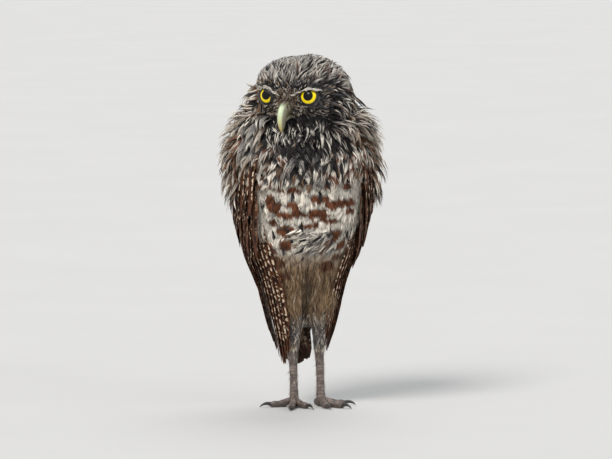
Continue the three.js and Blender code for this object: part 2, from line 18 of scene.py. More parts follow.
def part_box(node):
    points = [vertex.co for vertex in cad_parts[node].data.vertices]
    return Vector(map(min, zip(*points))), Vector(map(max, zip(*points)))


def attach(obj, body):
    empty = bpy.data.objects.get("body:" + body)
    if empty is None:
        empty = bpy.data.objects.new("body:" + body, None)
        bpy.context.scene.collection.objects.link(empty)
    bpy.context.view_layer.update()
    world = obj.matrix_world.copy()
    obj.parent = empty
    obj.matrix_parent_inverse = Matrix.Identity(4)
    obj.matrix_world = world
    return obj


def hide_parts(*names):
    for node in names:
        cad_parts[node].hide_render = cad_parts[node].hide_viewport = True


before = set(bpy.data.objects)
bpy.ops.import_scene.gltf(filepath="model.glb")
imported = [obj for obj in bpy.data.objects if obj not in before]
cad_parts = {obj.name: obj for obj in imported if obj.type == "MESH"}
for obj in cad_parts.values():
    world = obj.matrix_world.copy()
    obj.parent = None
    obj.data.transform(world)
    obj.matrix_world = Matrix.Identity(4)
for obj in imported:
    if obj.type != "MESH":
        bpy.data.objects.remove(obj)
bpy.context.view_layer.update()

LOG = logging.getLogger("owl")
MM = 0.001
Array = np.ndarray
Pair = tuple[Array, Array]
Map = Callable[[Array], Array]
Piece = bpy.types.Object
Finish = bpy.types.Material
Socket = bpy.types.NodeSocket
SHARES = ("buff", "rust", "pale", "dark")   # a feather's colours, each laid over those before it
SHEET = (0.002, 0.998)                      # the part of the sheet of colours that is used
VIEW_TURN, VIEW_LIFT = -8.0, 5.0            # the photo's camera: degrees round the owl and above level
REDRAW = 7919.0                             # makes a second random number out of a first one
HEAD_SHEET = 186                            # the height from which colours go on the head's half of the sheet


# Numbers

def unit(v: Array) -> Array:
    """Vectors along the last axis, brought to length one."""
    return v / np.maximum(np.linalg.norm(v, axis=-1, keepdims=True), 1e-9)


def smooth(x: Array, low: float, high: float) -> Array:
    """A smooth step from 0 at low to 1 at high."""
    t = np.clip((np.asarray(x, float) - low) / (high - low), 0, 1)
    return t * t * (3 - 2 * t)


def blend(a: Array, b: Array, t: Array) -> Array:
    """A straight mix from a to b."""
    return a + (b - a) * t


def side_name(side: int) -> str:
    """What a side is called, where 1 is the owl's left."""
    return "left" if side > 0 else "right"


def spun(v: Array, degrees: float) -> Array:
    """Vectors turned about +Z."""
    t = math.radians(degrees)
    x, y, z = np.moveaxis(np.asarray(v, float), -1, 0)
    return np.stack([x * math.cos(t) - y * math.sin(t), x * math.sin(t) + y * math.cos(t), z], -1)


class Stations:
    """A smooth function through (z, value...) stations that is level where it turns."""

    def __init__(self, rows: Sequence[Sequence[float]]):
        """Keeps the stations and works out their slopes."""
        table = np.array(rows, float)
        self.z, self.values = table[:, 0], table[:, 1:]
        rise = np.diff(self.values, axis=0) / np.diff(self.z)[:, None]
        inner = np.where(rise[1:] * rise[:-1] > 0, 2 * rise[1:] * rise[:-1] / np.where(
            rise[1:] + rise[:-1] == 0, 1, rise[1:] + rise[:-1]), 0)
        self.slope = np.vstack([rise[:1], inner, rise[-1:]])

    def __call__(self, z: Array) -> Array:
        """The values at each height, with one more axis than z."""
        at = np.clip(np.asarray(z, float), self.z[0], self.z[-1])
        i = np.clip(np.searchsorted(self.z, at, side="right") - 1, 0, len(self.z) - 2)
        h = (self.z[i + 1] - self.z[i])[..., None]
        s = (at - self.z[i])[..., None] / h
        return ((2 * s ** 3 - 3 * s ** 2 + 1) * self.values[i] + (s ** 3 - 2 * s ** 2 + s) * h * self.slope[i]
                + (3 * s ** 2 - 2 * s ** 3) * self.values[i + 1] + (s ** 3 - s ** 2) * h * self.slope[i + 1])


def hashed(points: Array, seed: float) -> Array:
    """A fixed pseudo-random value from 0 to 1 for each whole-numbered point."""
    a = np.sin(points @ np.array([127.1, 311.7, 74.7]) + seed * 17.3) * 43758.5453
    return a - np.floor(a)


def noise(points: Array, scale: float, seed: float = 0.0) -> Array:
    """Soft value noise from 0 to 1."""
    q = np.asarray(points, float) / scale
    cell = np.floor(q)
    f = q - cell
    f = f * f * (3 - 2 * f)
    total = 0.0
    for dx in (0, 1):
        for dy in (0, 1):
            for dz in (0, 1):
                w = (f[..., 0] if dx else 1 - f[..., 0]) * (f[..., 1] if dy else 1 - f[..., 1]) * (
                    f[..., 2] if dz else 1 - f[..., 2])
                total = total + w * hashed(cell + np.array([dx, dy, dz]), seed)
    return total


# Forms of the body

SWAY, SWAY_STARTS = 4.0, 125.0


def sway(z: Array) -> Array:
    """How far the lower body leans to the owl's left at each height."""
    return SWAY * smooth(SWAY_STARTS - np.asarray(z, float), 0, SWAY_STARTS)


@dataclass(frozen=True)
class Lay:
    """An upright surface of oval sections that feathers lie in."""
    stations: Stations

    def place(self, z: Array, angle: Array, lift: Array = 0.0) -> Array:
        """Points of the surface."""
        z, angle, lift = np.broadcast_arrays(np.asarray(z, float), angle, lift)
        wide, mid, deep = np.moveaxis(self.stations(z), -1, 0)
        a = np.radians(angle)
        return np.stack([sway(z) + (wide + lift) * np.sin(a), mid - (deep + lift) * np.cos(a), z], -1)


BODY = Lay(Stations((
    (52, 8, 13, 8), (60, 15, 11, 14), (70, 21.5, 8, 20.5), (82, 26.5, 5, 26), (96, 31.5, 2.2, 31),
    (112, 36.5, 0, 35), (130, 41.5, -1.2, 36.7), (148, 44.5, -2, 37), (164, 46.5, -2, 36),
    (176, 45, -1, 33.5), (186, 40.5, -0.5, 30.5), (193, 35, 0, 27.5), (199, 28, 0, 22))))
WING = Lay(Stations((
    (24, 15.5, 22, 17), (40, 19.5, 17.5, 23), (56, 24, 13.5, 28.5), (72, 28.5, 9.5, 32),
    (88, 33.5, 5.5, 35.5), (104, 40, 2.5, 39), (122, 44.5, 0, 41.5), (140, 47, -1.5, 42.5),
    (156, 48.5, -2, 42), (170, 48, -1.5, 40), (184, 46, 0, 35.5))))


@dataclass(frozen=True)
class HeadForm:
    """The head: a surface whose distance from the centre depends on the direction alone."""
    centre: tuple[float, float, float] = (0.0, -3.0, 209.0)
    turn: float = -31.0
    width: float = 33.0
    front: float = 25.0
    back: float = 29.0
    up: float = 25.5
    down: float = 25.0
    power: float = 2.25
    # towards, spread, height, and whether it is on both sides
    bumps: tuple = (
        ((0.55, -0.83, -0.02), 0.26, -4.2, True),
        ((0.3, -0.92, 0.3), 0.22, 3.0, True),
        ((0.66, -0.68, 0.36), 0.22, 2.2, True),
        ((0.0, -1.0, -0.28), 0.26, 3.5, False),
        ((0.75, -0.5, -0.45), 0.35, 1.8, True),
        ((0.0, -0.75, 0.66), 0.22, -1.2, False),
    )

    def reach(self, d: Array) -> Array:
        """The distance from the centre to the surface along each unit direction."""
        x, y, z = np.moveaxis(d, -1, 0)
        total = (np.abs(x / self.width) ** self.power
                 + np.abs(y / np.where(y < 0, self.front, self.back)) ** self.power
                 + np.abs(z / np.where(z < 0, self.down, self.up)) ** self.power)
        reach = total ** (-1 / self.power)
        mirrored = np.stack([np.abs(x), y, z], -1)
        for towards, spread, height, both in self.bumps:
            away = (mirrored if both else d) - unit(np.array(towards))
            reach = reach + height * np.exp(-(away ** 2).sum(-1) / spread ** 2)
        return reach

    def direction(self, up: Array, around: Array) -> Array:
        """Unit directions from degrees above level and degrees round from the bill."""
        b, a = np.broadcast_arrays(np.radians(up), np.radians(around))
        return np.stack([np.sin(a) * np.cos(b), -np.cos(a) * np.cos(b), np.sin(b)], -1)

    def to_body(self, p: Array) -> Array:
        """Points of the head's own frame, in the body's frame."""
        return self.turned(p) + np.array(self.centre)

    def turned(self, v: Array) -> Array:
        """Vectors of the head's own frame, in the body's frame."""
        return spun(v, self.turn)

    def to_head(self, p: Array) -> Array:
        """Points of the body's frame, in the head's own frame."""
        return spun(np.asarray(p, float) - np.array(self.centre), -self.turn)


HEAD = HeadForm()
EYE_RADIUS, EYE_SPLAY, EYE_LIFT, IRIS_OPENING = 8.5, 7.0, 11.0, 5.25
EYE_PLACE = (14.0, -17.5, -0.5)


def eye_centre(side: int) -> Array:
    """An eye's centre in the head's own frame."""
    return np.array([side * EYE_PLACE[0], EYE_PLACE[1], EYE_PLACE[2]])


def eye_axis(side: int) -> Array:
    """The direction that an eye looks in, in the head's own frame."""
    t, e = math.radians(side * EYE_SPLAY), math.radians(EYE_LIFT)
    return np.array([math.sin(t) * math.cos(e), -math.cos(t) * math.cos(e), math.sin(e)])


def frame_shift() -> Array:
    """How far the part's frame lies from the owl's own, in millimetres."""
    low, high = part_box("eye_right")
    middle = (np.array(low) + np.array(high)) / 2 / MM
    return middle - HEAD.to_body(eye_centre(-1))


SHIFT = frame_shift()


# Meshes

def keep(mesh: bpy.types.Mesh, key: str, numbers: Array, kind: str = "FLOAT") -> None:
    """Keeps a number or a vector for each vertex of a mesh."""
    store = mesh.attributes.new(key, kind, "POINT")
    store.data.foreach_set("value" if kind == "FLOAT" else "vector", np.asarray(numbers, np.float32).ravel())


def fetched(items: bpy.types.bpy_prop_collection, key: str, width: int = 1, kind: type = np.float32) -> Array:
    """One property of every item of a mesh, in rows where it has several numbers."""
    numbers = np.empty(len(items) * width, kind)
    items.foreach_get(key, numbers)
    return numbers.reshape(-1, width) if width > 1 else numbers


def lay_sheet(mesh: bpy.types.Mesh, uv: Array, corners: Array) -> None:
    """Gives each corner of a mesh its vertex's place on the sheet that its colours are kept on."""
    layer = mesh.uv_layers.new(name="OFBake")
    layer.data.foreach_set("uv", uv[corners].astype(np.float32).ravel())


def make_object(name: str, points: Array, faces: Array, values: Optional[dict[str, Array]] = None,
                uv: Optional[Array] = None) -> Piece:
    """A mesh object in the part's frame.

    Args:
        name: The piece's name.
        points: Vertices in millimetres in the owl's own frame, shape (n, 3).
        faces: Corner indices, shape (m, 3) or (m, 4).
        values: Named numbers for each vertex, which its finish reads.
        uv: A place for each vertex on the sheet that its colours are kept on.

    Returns:
        The new object, linked to the scene.
    """
    mesh = bpy.data.meshes.new(name)
    placed = ((points + SHIFT) * MM).astype(np.float32)
    corners = faces.shape[1]
    mesh.vertices.add(len(placed))
    mesh.vertices.foreach_set("co", placed.ravel())
    mesh.loops.add(faces.size)
    mesh.loops.foreach_set("vertex_index", faces.astype(np.int32).ravel())
    mesh.polygons.add(len(faces))
    mesh.polygons.foreach_set("loop_start", np.arange(0, faces.size, corners, dtype=np.int32))
    mesh.polygons.foreach_set("use_smooth", np.full(len(faces), True))
    mesh.update(calc_edges=True)
    for key, numbers in (values or {}).items():
        keep(mesh, key, numbers)
    if uv is not None:
        lay_sheet(mesh, uv, faces.ravel())
    piece = bpy.data.objects.new(name, mesh)
    bpy.context.scene.collection.objects.link(piece)
    return piece


def grid_faces(rows: int, columns: int, closed: bool) -> Array:
    """Four-cornered faces of a grid whose vertices run row by row."""
    i, j = np.meshgrid(np.arange(rows - 1), np.arange(columns if closed else columns - 1), indexing="ij")
    k = (j + 1) % columns
    row, after = i * columns, (i + 1) * columns
    return np.stack([row + j, row + k, after + k, after + j], -1).reshape(-1, 4)


def tube(rings: Array) -> Pair:
    """A closed body through rings of points, with its ends drawn to their middles."""
    rows, columns = rings.shape[:2]
    quads = grid_faces(rows, columns, True)
    points = np.vstack([rings.reshape(-1, 3), rings[0].mean(0), rings[-1].mean(0)])
    j = np.arange(columns)
    k = (j + 1) % columns
    last = (rows - 1) * columns
    low = np.stack([k, j, np.full(columns, rows * columns)], -1)
    high = np.stack([last + j, last + k, np.full(columns, rows * columns + 1)], -1)
    faces = np.vstack([quads[:, [0, 1, 2]], quads[:, [0, 2, 3]], low, high])
    return points, outward(points - points.mean(0), faces)


def outward(points: Array, faces: Array) -> Array:
    """The faces, turned over if the body they close is inside out."""
    a, b, c = (points[faces[:, n]] for n in range(3))
    return faces if np.einsum("ij,ij->i", a, np.cross(b, c)).sum() > 0 else faces[:, ::-1]


def joined(parts: Iterable[Pair]) -> Pair:
    """Several bodies as one list of points and one of faces."""
    points, faces, count = [], [], 0
    for p, f in parts:
        points.append(p)
        faces.append(f + count)
        count += len(p)
    return np.vstack(points), np.vstack(faces)


def curve_through(line: Array, t: Array) -> Array:
    """Points of a smooth curve."""
    line = np.asarray(line, float)
    n = line.shape[-2]
    ends = np.concatenate([2 * line[..., :1, :] - line[..., 1:2, :], line,
                           2 * line[..., -1:, :] - line[..., -2:-1, :]], -2)
    x = np.clip(t, 0, 1) * (n - 1)
    i = np.minimum(x.astype(int), n - 2)
    s = (x - i)[:, None]
    a, b, c, d = (ends[..., i + o, :] for o in range(4))
    return 0.5 * (2 * b + (c - a) * s + (2 * a - 5 * b + 4 * c - d) * s ** 2
                  + (3 * b - a - 3 * c + d) * s ** 3)


def swept(line: Array, radii: Array, sides: int, steps: int,
          sideways: Array = np.array([1.0, 0, 0])) -> Array:
    """Rings of a round body that follows a centreline."""
    t = np.linspace(0, 1, steps + 1)
    centre = curve_through(line, t)
    along = unit(np.gradient(centre, axis=0))
    front = unit(np.cross(np.broadcast_to(sideways, along.shape), along))
    side = unit(np.cross(along, front))
    wide, deep = np.moveaxis(Stations(radii)(t), -1, 0)
    a = np.arange(sides) * 2 * np.pi / sides
    return (centre[:, None] + side[:, None] * (wide[:, None] * np.cos(a))[..., None]
            + front[:, None] * (deep[:, None] * np.sin(a))[..., None])


class Ground:
    """A surface that strands grow from."""

    def __init__(self, points: Array, faces: Array):
        """Keeps the surface and readies it for searches."""
        self.points, self.faces = points, faces
        self.tree = BVHTree.FromPolygons([tuple(p) for p in points], [tuple(f) for f in faces.tolist()])
        a, b, c = (points[faces[:, n]] for n in range(3))
        cross = np.cross(b - a, c - a)
        self.area = np.linalg.norm(cross, axis=1) / 2
        normal = np.zeros_like(points)
        for n in range(3):
            np.add.at(normal, faces[:, n], cross)
        self.normal = unit(normal)

    def nearest(self, p: Array) -> Pair:
        """The nearest surface point to each place and the soft normal there."""
        flat = p.reshape(-1, 3)
        spot = np.empty_like(flat)
        normal = np.empty_like(flat)
        for i, q in enumerate(flat):
            hit, _, index, _ = self.tree.find_nearest(q)
            spot[i] = hit
            corner = self.faces[index]
            weight = 1 / (((self.points[corner] - spot[i]) ** 2).sum(1) + 1e-3)
            normal[i] = weight @ self.normal[corner]
        return spot.reshape(p.shape), unit(normal).reshape(p.shape)

    def scatter(self, where: Map, spacing: float, draw: np.random.Generator) -> Array:
        """Places spread evenly over part of the surface.

        Args:
            where: Gives the share of places kept at each point, from 0 to 1.
            spacing: Distance between neighbours in millimetres.
            draw: Source of the random numbers.

        Returns:
            The places, shape (n, 3).
        """
        middle = self.points[self.faces].mean(1)
        share = self.area * (where(middle) > 0)
        total = share.sum()
        if total <= 0:
            return np.zeros((0, 3))
        count = int(total / spacing ** 2 * 4)
        pick = draw.choice(len(self.faces), count, p=share / total)
        u, v = draw.random(count), draw.random(count)
        over = u + v > 1
        u[over], v[over] = 1 - u[over], 1 - v[over]
        a, b, c = (self.points[self.faces[pick, n]] for n in range(3))
        spots = a + (b - a) * u[:, None] + (c - a) * v[:, None]
        cell = np.floor(spots / (spacing * 1.05)).astype(np.int64)
        _, first = np.unique(cell @ np.array([1, 4096, 4096 ** 2]), return_index=True)
        spots = spots[np.sort(first)]
        return spots[draw.random(len(spots)) < where(spots)]


@dataclass
class Strands:
    """Many thin feather points, each a closed three-sided body with a ridge along its back."""
    paths: Array      # (n, k, 3)
    normals: Array    # (n, k, 3)
    half: Array       # (n, k)
    thick: Array      # (n, k)
    roots: Array      # (n, 2), the place of each root on the sheet of colours
    values: dict[str, Array] = field(default_factory=dict)
    barbs: int = 1    # barbs that share one patch of the sheet

    PATCH = 0.003

    def part(self, number: int, parts: int) -> "Strands":
        """One of several equal shares of the strands, cut between feathers."""
        feathers = len(self.half) // self.barbs
        low, high = (feathers * (number + o) // parts * self.barbs for o in (0, 1))
        share = slice(low, high)
        return Strands(self.paths[share], self.normals[share], self.half[share], self.thick[share],
                       self.roots[share], {key: v[share] for key, v in self.values.items()}, self.barbs)

    def mesh(self, name: str) -> Piece:
        """The strands as one object."""
        n, k = self.half.shape
        along = unit(np.gradient(self.paths, axis=1))
        side = unit(np.cross(along, self.normals))
        up = np.cross(side, along)
        left = self.paths - side * self.half[..., None]
        right = self.paths + side * self.half[..., None]
        ridge = self.paths + up * self.thick[..., None]
        points = np.stack([left, ridge, right], 2).reshape(-1, 3)
        base = (np.arange(n) * k * 3)[:, None, None]
        i = (np.arange(k - 1) * 3)[None, :, None]
        pattern = np.array([[0, 1, 4], [0, 4, 3], [1, 2, 5], [1, 5, 4], [2, 0, 3], [2, 3, 5]])
        sides = (base[..., None] + i[..., None] + pattern[None, None]).reshape(-1, 3)
        first = base[:, 0] + np.array([[2, 1, 0]])
        last = base[:, 0] + (k - 1) * 3 + np.array([[0, 1, 2]])
        faces = np.vstack([sides, first, last])
        t = np.broadcast_to(np.linspace(-0.5, 0.5, k)[None, :, None], (n, k, 3))
        s = np.broadcast_to(np.array([-0.5, 0, 0.5])[None, None], (n, k, 3))
        uv = np.stack([self.roots[:, None, None, 0] + self.PATCH / self.barbs * 0.8 * s,
                       self.roots[:, None, None, 1] + self.PATCH * t], -1).reshape(-1, 2)
        values = {"along": np.broadcast_to(np.linspace(0, 1, k)[None, :, None], (n, k, 3))}
        for key, numbers in self.values.items():
            table = numbers if numbers.ndim == 2 else np.broadcast_to(numbers[:, None], (n, k))
            values[key] = np.broadcast_to(table[..., None], (n, k, 3))
        return make_object(name, points, faces, values, np.clip(uv, *SHEET))


# Finishes

Color = tuple[float, float, float]


class Value:
    """A number that runs through a shader, which can be written in sums."""

    def __init__(self, tree: bpy.types.NodeTree, socket: Socket):
        """Wraps an output socket of a tree."""
        self.tree, self.socket = tree, socket

    def _math(self, operation: str, first: "Number", second: "Number" = 0.0) -> "Value":
        """One Math node."""
        node = self.tree.nodes.new("ShaderNodeMath")
        node.operation = operation
        for socket, value in zip(node.inputs, (first, second)):
            if isinstance(value, Value):
                self.tree.links.new(value.socket, socket)
            else:
                socket.default_value = value
        return Value(self.tree, node.outputs[0])

    def __add__(self, other: "Number") -> "Value":
        """self + other."""
        return self._math("ADD", self, other)

    def __radd__(self, other: float) -> "Value":
        """other + self."""
        return self._math("ADD", other, self)

    def __sub__(self, other: "Number") -> "Value":
        """self - other."""
        return self._math("SUBTRACT", self, other)

    def __rsub__(self, other: float) -> "Value":
        """other - self."""
        return self._math("SUBTRACT", other, self)

    def __mul__(self, other: "Number") -> "Value":
        """self * other."""
        return self._math("MULTIPLY", self, other)

    def __rmul__(self, other: float) -> "Value":
        """other * self."""
        return self._math("MULTIPLY", other, self)

    def __truediv__(self, other: "Number") -> "Value":
        """self / other."""
        return self._math("DIVIDE", self, other)

    def __mod__(self, other: "Number") -> "Value":
        """self within steps of other, never below zero."""
        return self._math("FLOORED_MODULO", self, other)

    def __abs__(self) -> "Value":
        """self without its sign."""
        return self._math("ABSOLUTE", self)

    def sine(self) -> "Value":
        """The sine."""
        return self._math("SINE", self)

    def root(self) -> "Value":
        """The square root."""
        return self._math("SQRT", self)

    def step(self, start: float, end: float) -> "Value":
        """A smooth step from 0 at start to 1 at end, where end may be the lower."""
        node = self.tree.nodes.new("ShaderNodeMapRange")
        node.interpolation_type = "SMOOTHSTEP"
        flip = end < start
        self.tree.links.new(self.socket, node.inputs[0])
        values = (end, start, 1.0, 0.0) if flip else (start, end, 0.0, 1.0)
        for socket, value in zip(list(node.inputs)[1:5], values):
            socket.default_value = value
        return Value(self.tree, node.outputs[0])


Number = Union[Value, float]
Tint = Union[Color, Socket]


class Surface:
    """Builds one material from nodes."""

    def __init__(self, name: str):
        """Starts a material of that name with one plain shader."""
        self.material = bpy.data.materials.new(name)
        self.material.use_nodes = True
        self.tree = self.material.node_tree
        self.shader = self.tree.nodes["Principled BSDF"]

    def node(self, kind: str, settings: Optional[dict] = None,
             values: Optional[dict] = None) -> bpy.types.Node:
        """Any node."""
        node = self.tree.nodes.new("ShaderNode" + kind)
        for key, setting in (settings or {}).items():
            setattr(node, key, setting)
        for key, value in (values or {}).items():
            self.feed(node.inputs[key], value)
        return node

    def feed(self, socket: Socket, value: object) -> None:
        """Sets a socket to a number or colour, or links it."""
        if isinstance(value, Value):
            self.tree.links.new(value.socket, socket)
        elif isinstance(value, Socket):
            self.tree.links.new(value, socket)
        elif socket.type == "RGBA":
            socket.default_value = (*value, 1.0)
        else:
            socket.default_value = value

    def attribute(self, name: str) -> Value:
        """A number kept on the mesh."""
        return Value(self.tree, self.node("Attribute", {"attribute_name": name}).outputs["Fac"])

    def place(self) -> Socket:
        """The place of each point on the object, in metres."""
        return self.node("TexCoord").outputs["Object"]

    def noise(self, per_metre: float, detail: float = 3.0, stretch: Color = (1.0, 1.0, 1.0)) -> Value:
        """Noise from 0 to 1 about the object."""
        mapped = self.node("Mapping", {}, {"Vector": self.place(), "Scale": stretch})
        node = self.node("TexNoise", {}, {"Vector": mapped.outputs[0], "Scale": per_metre, "Detail": detail})
        return Value(self.tree, node.outputs["Fac"])

    def mix(self, share: Number, first: Tint, second: Tint, kind: str = "MIX") -> Socket:
        """A mix of two colours, from the first where share is 0 to the second where it is 1."""
        node = self.node("Mix", {"data_type": "RGBA", "clamp_factor": True, "blend_type": kind})
        colours = [s for s in node.inputs if s.type == "RGBA"]
        for socket, value in zip((node.inputs[0], *colours), (share, first, second)):
            self.feed(socket, value)
        return next(s for s in node.outputs if s.type == "RGBA")

    def shade(self, colour: Tint, amount: Number) -> Socket:
        """A colour made darker or lighter by a number."""
        grey = self.node("CombineColor", {}, {0: amount, 1: amount, 2: amount}).outputs[0]
        return self.mix(1.0, colour, grey, "MULTIPLY")

    def bump(self, height: Value, depth: float) -> None:
        """Relief from a height between 0 and 1."""
        node = self.node("Bump", {}, {"Height": height, "Distance": depth * MM, "Strength": 1.0})
        self.feed(self.shader.inputs["Normal"], node.outputs[0])

    def finish(self, colour: Tint, roughness: Number, **fixed: float) -> Finish:
        """The finished material."""
        self.feed(self.shader.inputs["Base Color"], colour)
        self.feed(self.shader.inputs["Roughness"], roughness)
        for key, value in fixed.items():
            self.feed(self.shader.inputs[key.replace("_", " ")], value)
        return self.material


@dataclass(frozen=True)
class Plumage:
    """Wet body feathers, coloured by the markings kept on each strand, with painted shade towards each
    strand's root.
    """
    slate: Color = (0.130, 0.120, 0.120)
    rust: Color = (0.155, 0.055, 0.024)
    buff: Color = (0.285, 0.180, 0.095)
    white: Color = (0.86, 0.79, 0.68)
    black: Color = (0.009, 0.007, 0.007)
    gloss: float = 0.42

    def material(self, name: str, relief: float) -> Finish:
        """The material."""
        s = Surface(name)
        chance, along = s.attribute("chance"), s.attribute("along")
        colour = s.mix(s.attribute("buff"), self.slate, self.buff)
        colour = s.mix(s.attribute("rust"), colour, self.rust)
        colour = s.mix(s.attribute("pale"), colour, self.white)
        colour = s.mix(s.attribute("dark"), colour, self.black)
        grain = s.noise(1500.0, 2.0, (1.0, 1.0, 0.3))
        # painted shade: each strand is darker towards its root, where the feathers over it would shade it
        root = 0.62 + 0.38 * along.step(0.0, 0.5)
        colour = s.shade(colour, (0.50 + 0.90 * chance) * (0.78 + 0.34 * grain) * root)
        s.bump(grain, relief)
        return s.finish(colour, self.gloss - 0.16 * chance + 0.1 * grain, Coat_Weight=0.06,
                        Coat_Roughness=0.22, Specular_IOR_Level=0.18)


@dataclass(frozen=True)
class FlightFeather:
    """Dark brown vanes with rows of pale spots and worn tan edges."""
    brown: Color = (0.088, 0.034, 0.017)
    deep: Color = (0.010, 0.006, 0.005)
    spot: Color = (0.74, 0.58, 0.42)
    edge: Color = (0.24, 0.10, 0.042)
    tip: Color = (0.16, 0.062, 0.034)
    step: float = 6.4
    spot_long: float = 1.7
    spot_wide: float = 0.22

    def material(self, name: str) -> Finish:
        """The material, which reads the place on each vane."""
        s = Surface(name)
        across, run, chance = s.attribute("across"), s.attribute("run"), s.attribute("chance")
        along, worn = s.attribute("along"), s.attribute("spots")
        side = abs(across)
        wander = s.noise(230.0, 2.0)
        colour = s.mix(s.noise(420.0, 3.0, (1.0, 1.0, 0.25)).step(0.38, 0.60), self.deep, self.brown)
        rim = side.step(0.70, 0.98) * s.noise(300.0, 2.0).step(0.42, 0.60)
        colour = s.mix(rim, colour, self.edge)
        colour = s.mix(along.step(0.80, 1.0) * 0.75, colour, self.tip)
        sided = (across * 40.0).step(-1.0, 1.0)
        phase = (run + chance * self.step * 3.0 + sided * 2.6 + wander * 16.0) % self.step
        lengthwise = (phase - self.step / 2) / self.spot_long
        crosswise = (side - 0.60) / self.spot_wide
        crosswise = crosswise * (1 - s.attribute("barred") * 0.75)
        inside = (lengthwise * lengthwise + crosswise * crosswise).root().step(1.12, 0.72)
        inside = inside * s.noise(210.0, 2.0).step(0.34, 0.46) * along.step(0.90, 0.76)
        colour = s.mix(inside * worn, colour, self.spot)
        barbs = ((run * 0.9 + side * 3.2) * 6.2832 / 0.42).sine() * 0.5 + 0.5
        quill = side.step(0.06, 0.015)
        colour = s.mix(quill * 0.6, colour, self.edge)
        colour = s.shade(colour, (0.70 + 0.6 * s.noise(260.0, 3.0)) * (0.86 + 0.14 * barbs))
        s.bump(barbs * 0.5 + quill, 0.10)
        return s.finish(colour, 0.66 - 0.12 * wander, Specular_IOR_Level=0.12)


@dataclass(frozen=True)
class EyeBall:
    """A yellow iris, a black pupil and the dark rim where the eye goes under its lids."""
    yellow: Color = (0.95, 0.74, 0.010)
    amber: Color = (0.78, 0.48, 0.005)
    pale: Color = (0.98, 0.86, 0.06)
    pupil: float = 3.35
    black: Color = (0.004, 0.004, 0.004)

    def material(self, name: str) -> Finish:
        """The material, which reads how far each point lies from the middle of the eye."""
        s = Surface(name)
        out = s.attribute("out")
        fibres = s.noise(2600.0, 3.0)
        colour = s.mix(out.step(2.6, 4.4), self.amber, self.yellow)
        colour = s.mix(fibres.step(0.45, 0.75) * 0.5, colour, self.pale)
        colour = s.mix(out.step(4.6, 5.3), colour, self.amber)
        colour = s.mix(out.step(self.pupil + 0.12, self.pupil - 0.12), colour, self.black)
        colour = s.mix(out.step(5.15, 5.35), colour, self.black)
        return s.finish(colour, 0.40, Coat_Weight=0.35, Coat_Roughness=0.02, Coat_IOR=1.34,
                        Specular_IOR_Level=0.1)


@dataclass(frozen=True)
class Horn:
    """Smooth horn whose colour runs from its pale ridge to its greyer sides, which also carry painted shade.
    """
    ridge: Color
    side: Color
    deep: Color
    worn: Color
    gloss: float = 0.3

    def material(self, name: str) -> Finish:
        """The material, which reads how far each point lies from the ridge and from the root."""
        s = Surface(name)
        aside, along = s.attribute("aside"), s.attribute("along")
        streak = s.noise(500.0, 3.0, (1.0, 1.0, 0.25))
        ridge = s.mix(along.step(0.45, 0.85), self.ridge, self.worn)
        # sides and underside darker: partly their own greyer horn, partly painted shade
        greyer_and_shaded_flank = (aside + (streak - 0.5) * 0.2).step(0.40, 0.80)
        colour = s.mix(greyer_and_shaded_flank, ridge, self.side)
        colour = s.mix(along.step(0.40, 0.27) * (1 - greyer_and_shaded_flank * 0.65), colour, self.deep)
        # painted shade: the nostrils' openings near black, for the dark inside them
        colour = s.mix(s.attribute("hole").step(0.25, 0.6), colour, (0.01, 0.008, 0.006))
        colour = s.shade(colour, 0.8 + 0.4 * streak)
        s.bump(streak, 0.05)
        return s.finish(colour, self.gloss + 0.12 * streak, Coat_Weight=0.3, Coat_Roughness=0.12)


@dataclass(frozen=True)
class BareSkin:
    """Scaly grey-brown skin of the shanks and toes."""
    skin: Color = (0.125, 0.088, 0.072)
    seam: Color = (0.030, 0.021, 0.018)
    worn: Color = (0.27, 0.21, 0.17)

    def material(self, name: str) -> Finish:
        """The material, which reads the relief kept on the mesh."""
        s = Surface(name)
        relief = s.attribute("relief")
        cells = s.node("TexVoronoi", {"feature": "DISTANCE_TO_EDGE"}, {"Vector": s.place(), "Scale": 1150.0})
        scale = Value(s.tree, cells.outputs["Distance"]).step(0.0, 0.16)
        tone = s.noise(260.0, 3.0)
        colour = s.mix(scale, self.seam, self.skin)
        colour = s.mix(relief.step(0.25, 0.0), colour, self.seam)
        colour = s.mix(relief.step(0.45, 1.0) * tone.step(0.35, 0.7) * 0.8, colour, self.worn)
        colour = s.shade(colour, 0.7 + 0.6 * tone)
        s.bump(scale * 0.6 + relief * 0.4, 0.22)
        return s.finish(colour, 0.5 - 0.15 * tone, Coat_Weight=0.15, Coat_Roughness=0.3)


@dataclass(frozen=True)
class PaleFloor:
    """The plain pale floor."""
    pale: Color = (0.50, 0.49, 0.47)

    def material(self, name: str) -> Finish:
        """The material."""
        s = Surface(name)
        return s.finish(s.shade(self.pale, 0.96 + 0.08 * s.noise(6.0)), 0.85)


# Skin

def dress(piece: Piece, material: Finish, slot: str, *nodes: str) -> Piece:
    """Gives a piece its finish and its place in the part."""
    piece.data.materials.clear()
    piece.data.materials.append(material)
    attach(piece, "root")
    if nodes:
        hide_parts(*nodes)
    LOG.info("%s: %d faces", piece.name, len(piece.data.polygons))
    return piece


def settled(piece: Piece, name: str) -> Piece:
    """The piece with its modifiers worked into a plain mesh, under a new name."""
    graph = bpy.context.evaluated_depsgraph_get()
    mesh = bpy.data.meshes.new_from_object(piece.evaluated_get(graph), depsgraph=graph)
    old = piece.data
    bpy.data.objects.remove(piece)
    bpy.data.meshes.remove(old)
    result = bpy.data.objects.new(name, mesh)
    bpy.context.scene.collection.objects.link(result)
    return result


def body_angle(p: Array) -> Array:
    """Degrees from the front towards the owl's left at each place on the body."""
    wide, mid, deep = np.moveaxis(BODY.stations(p[..., 2]), -1, 0)
    return np.degrees(np.arctan2((p[..., 0] - sway(p[..., 2])) / wide, -(p[..., 1] - mid) / deep))


def head_share(p: Array) -> Array:
    """1 on the head, 0 on the body, with a soft change under the chin and nape."""
    return smooth(p[..., 2], 184.0, 196.0)


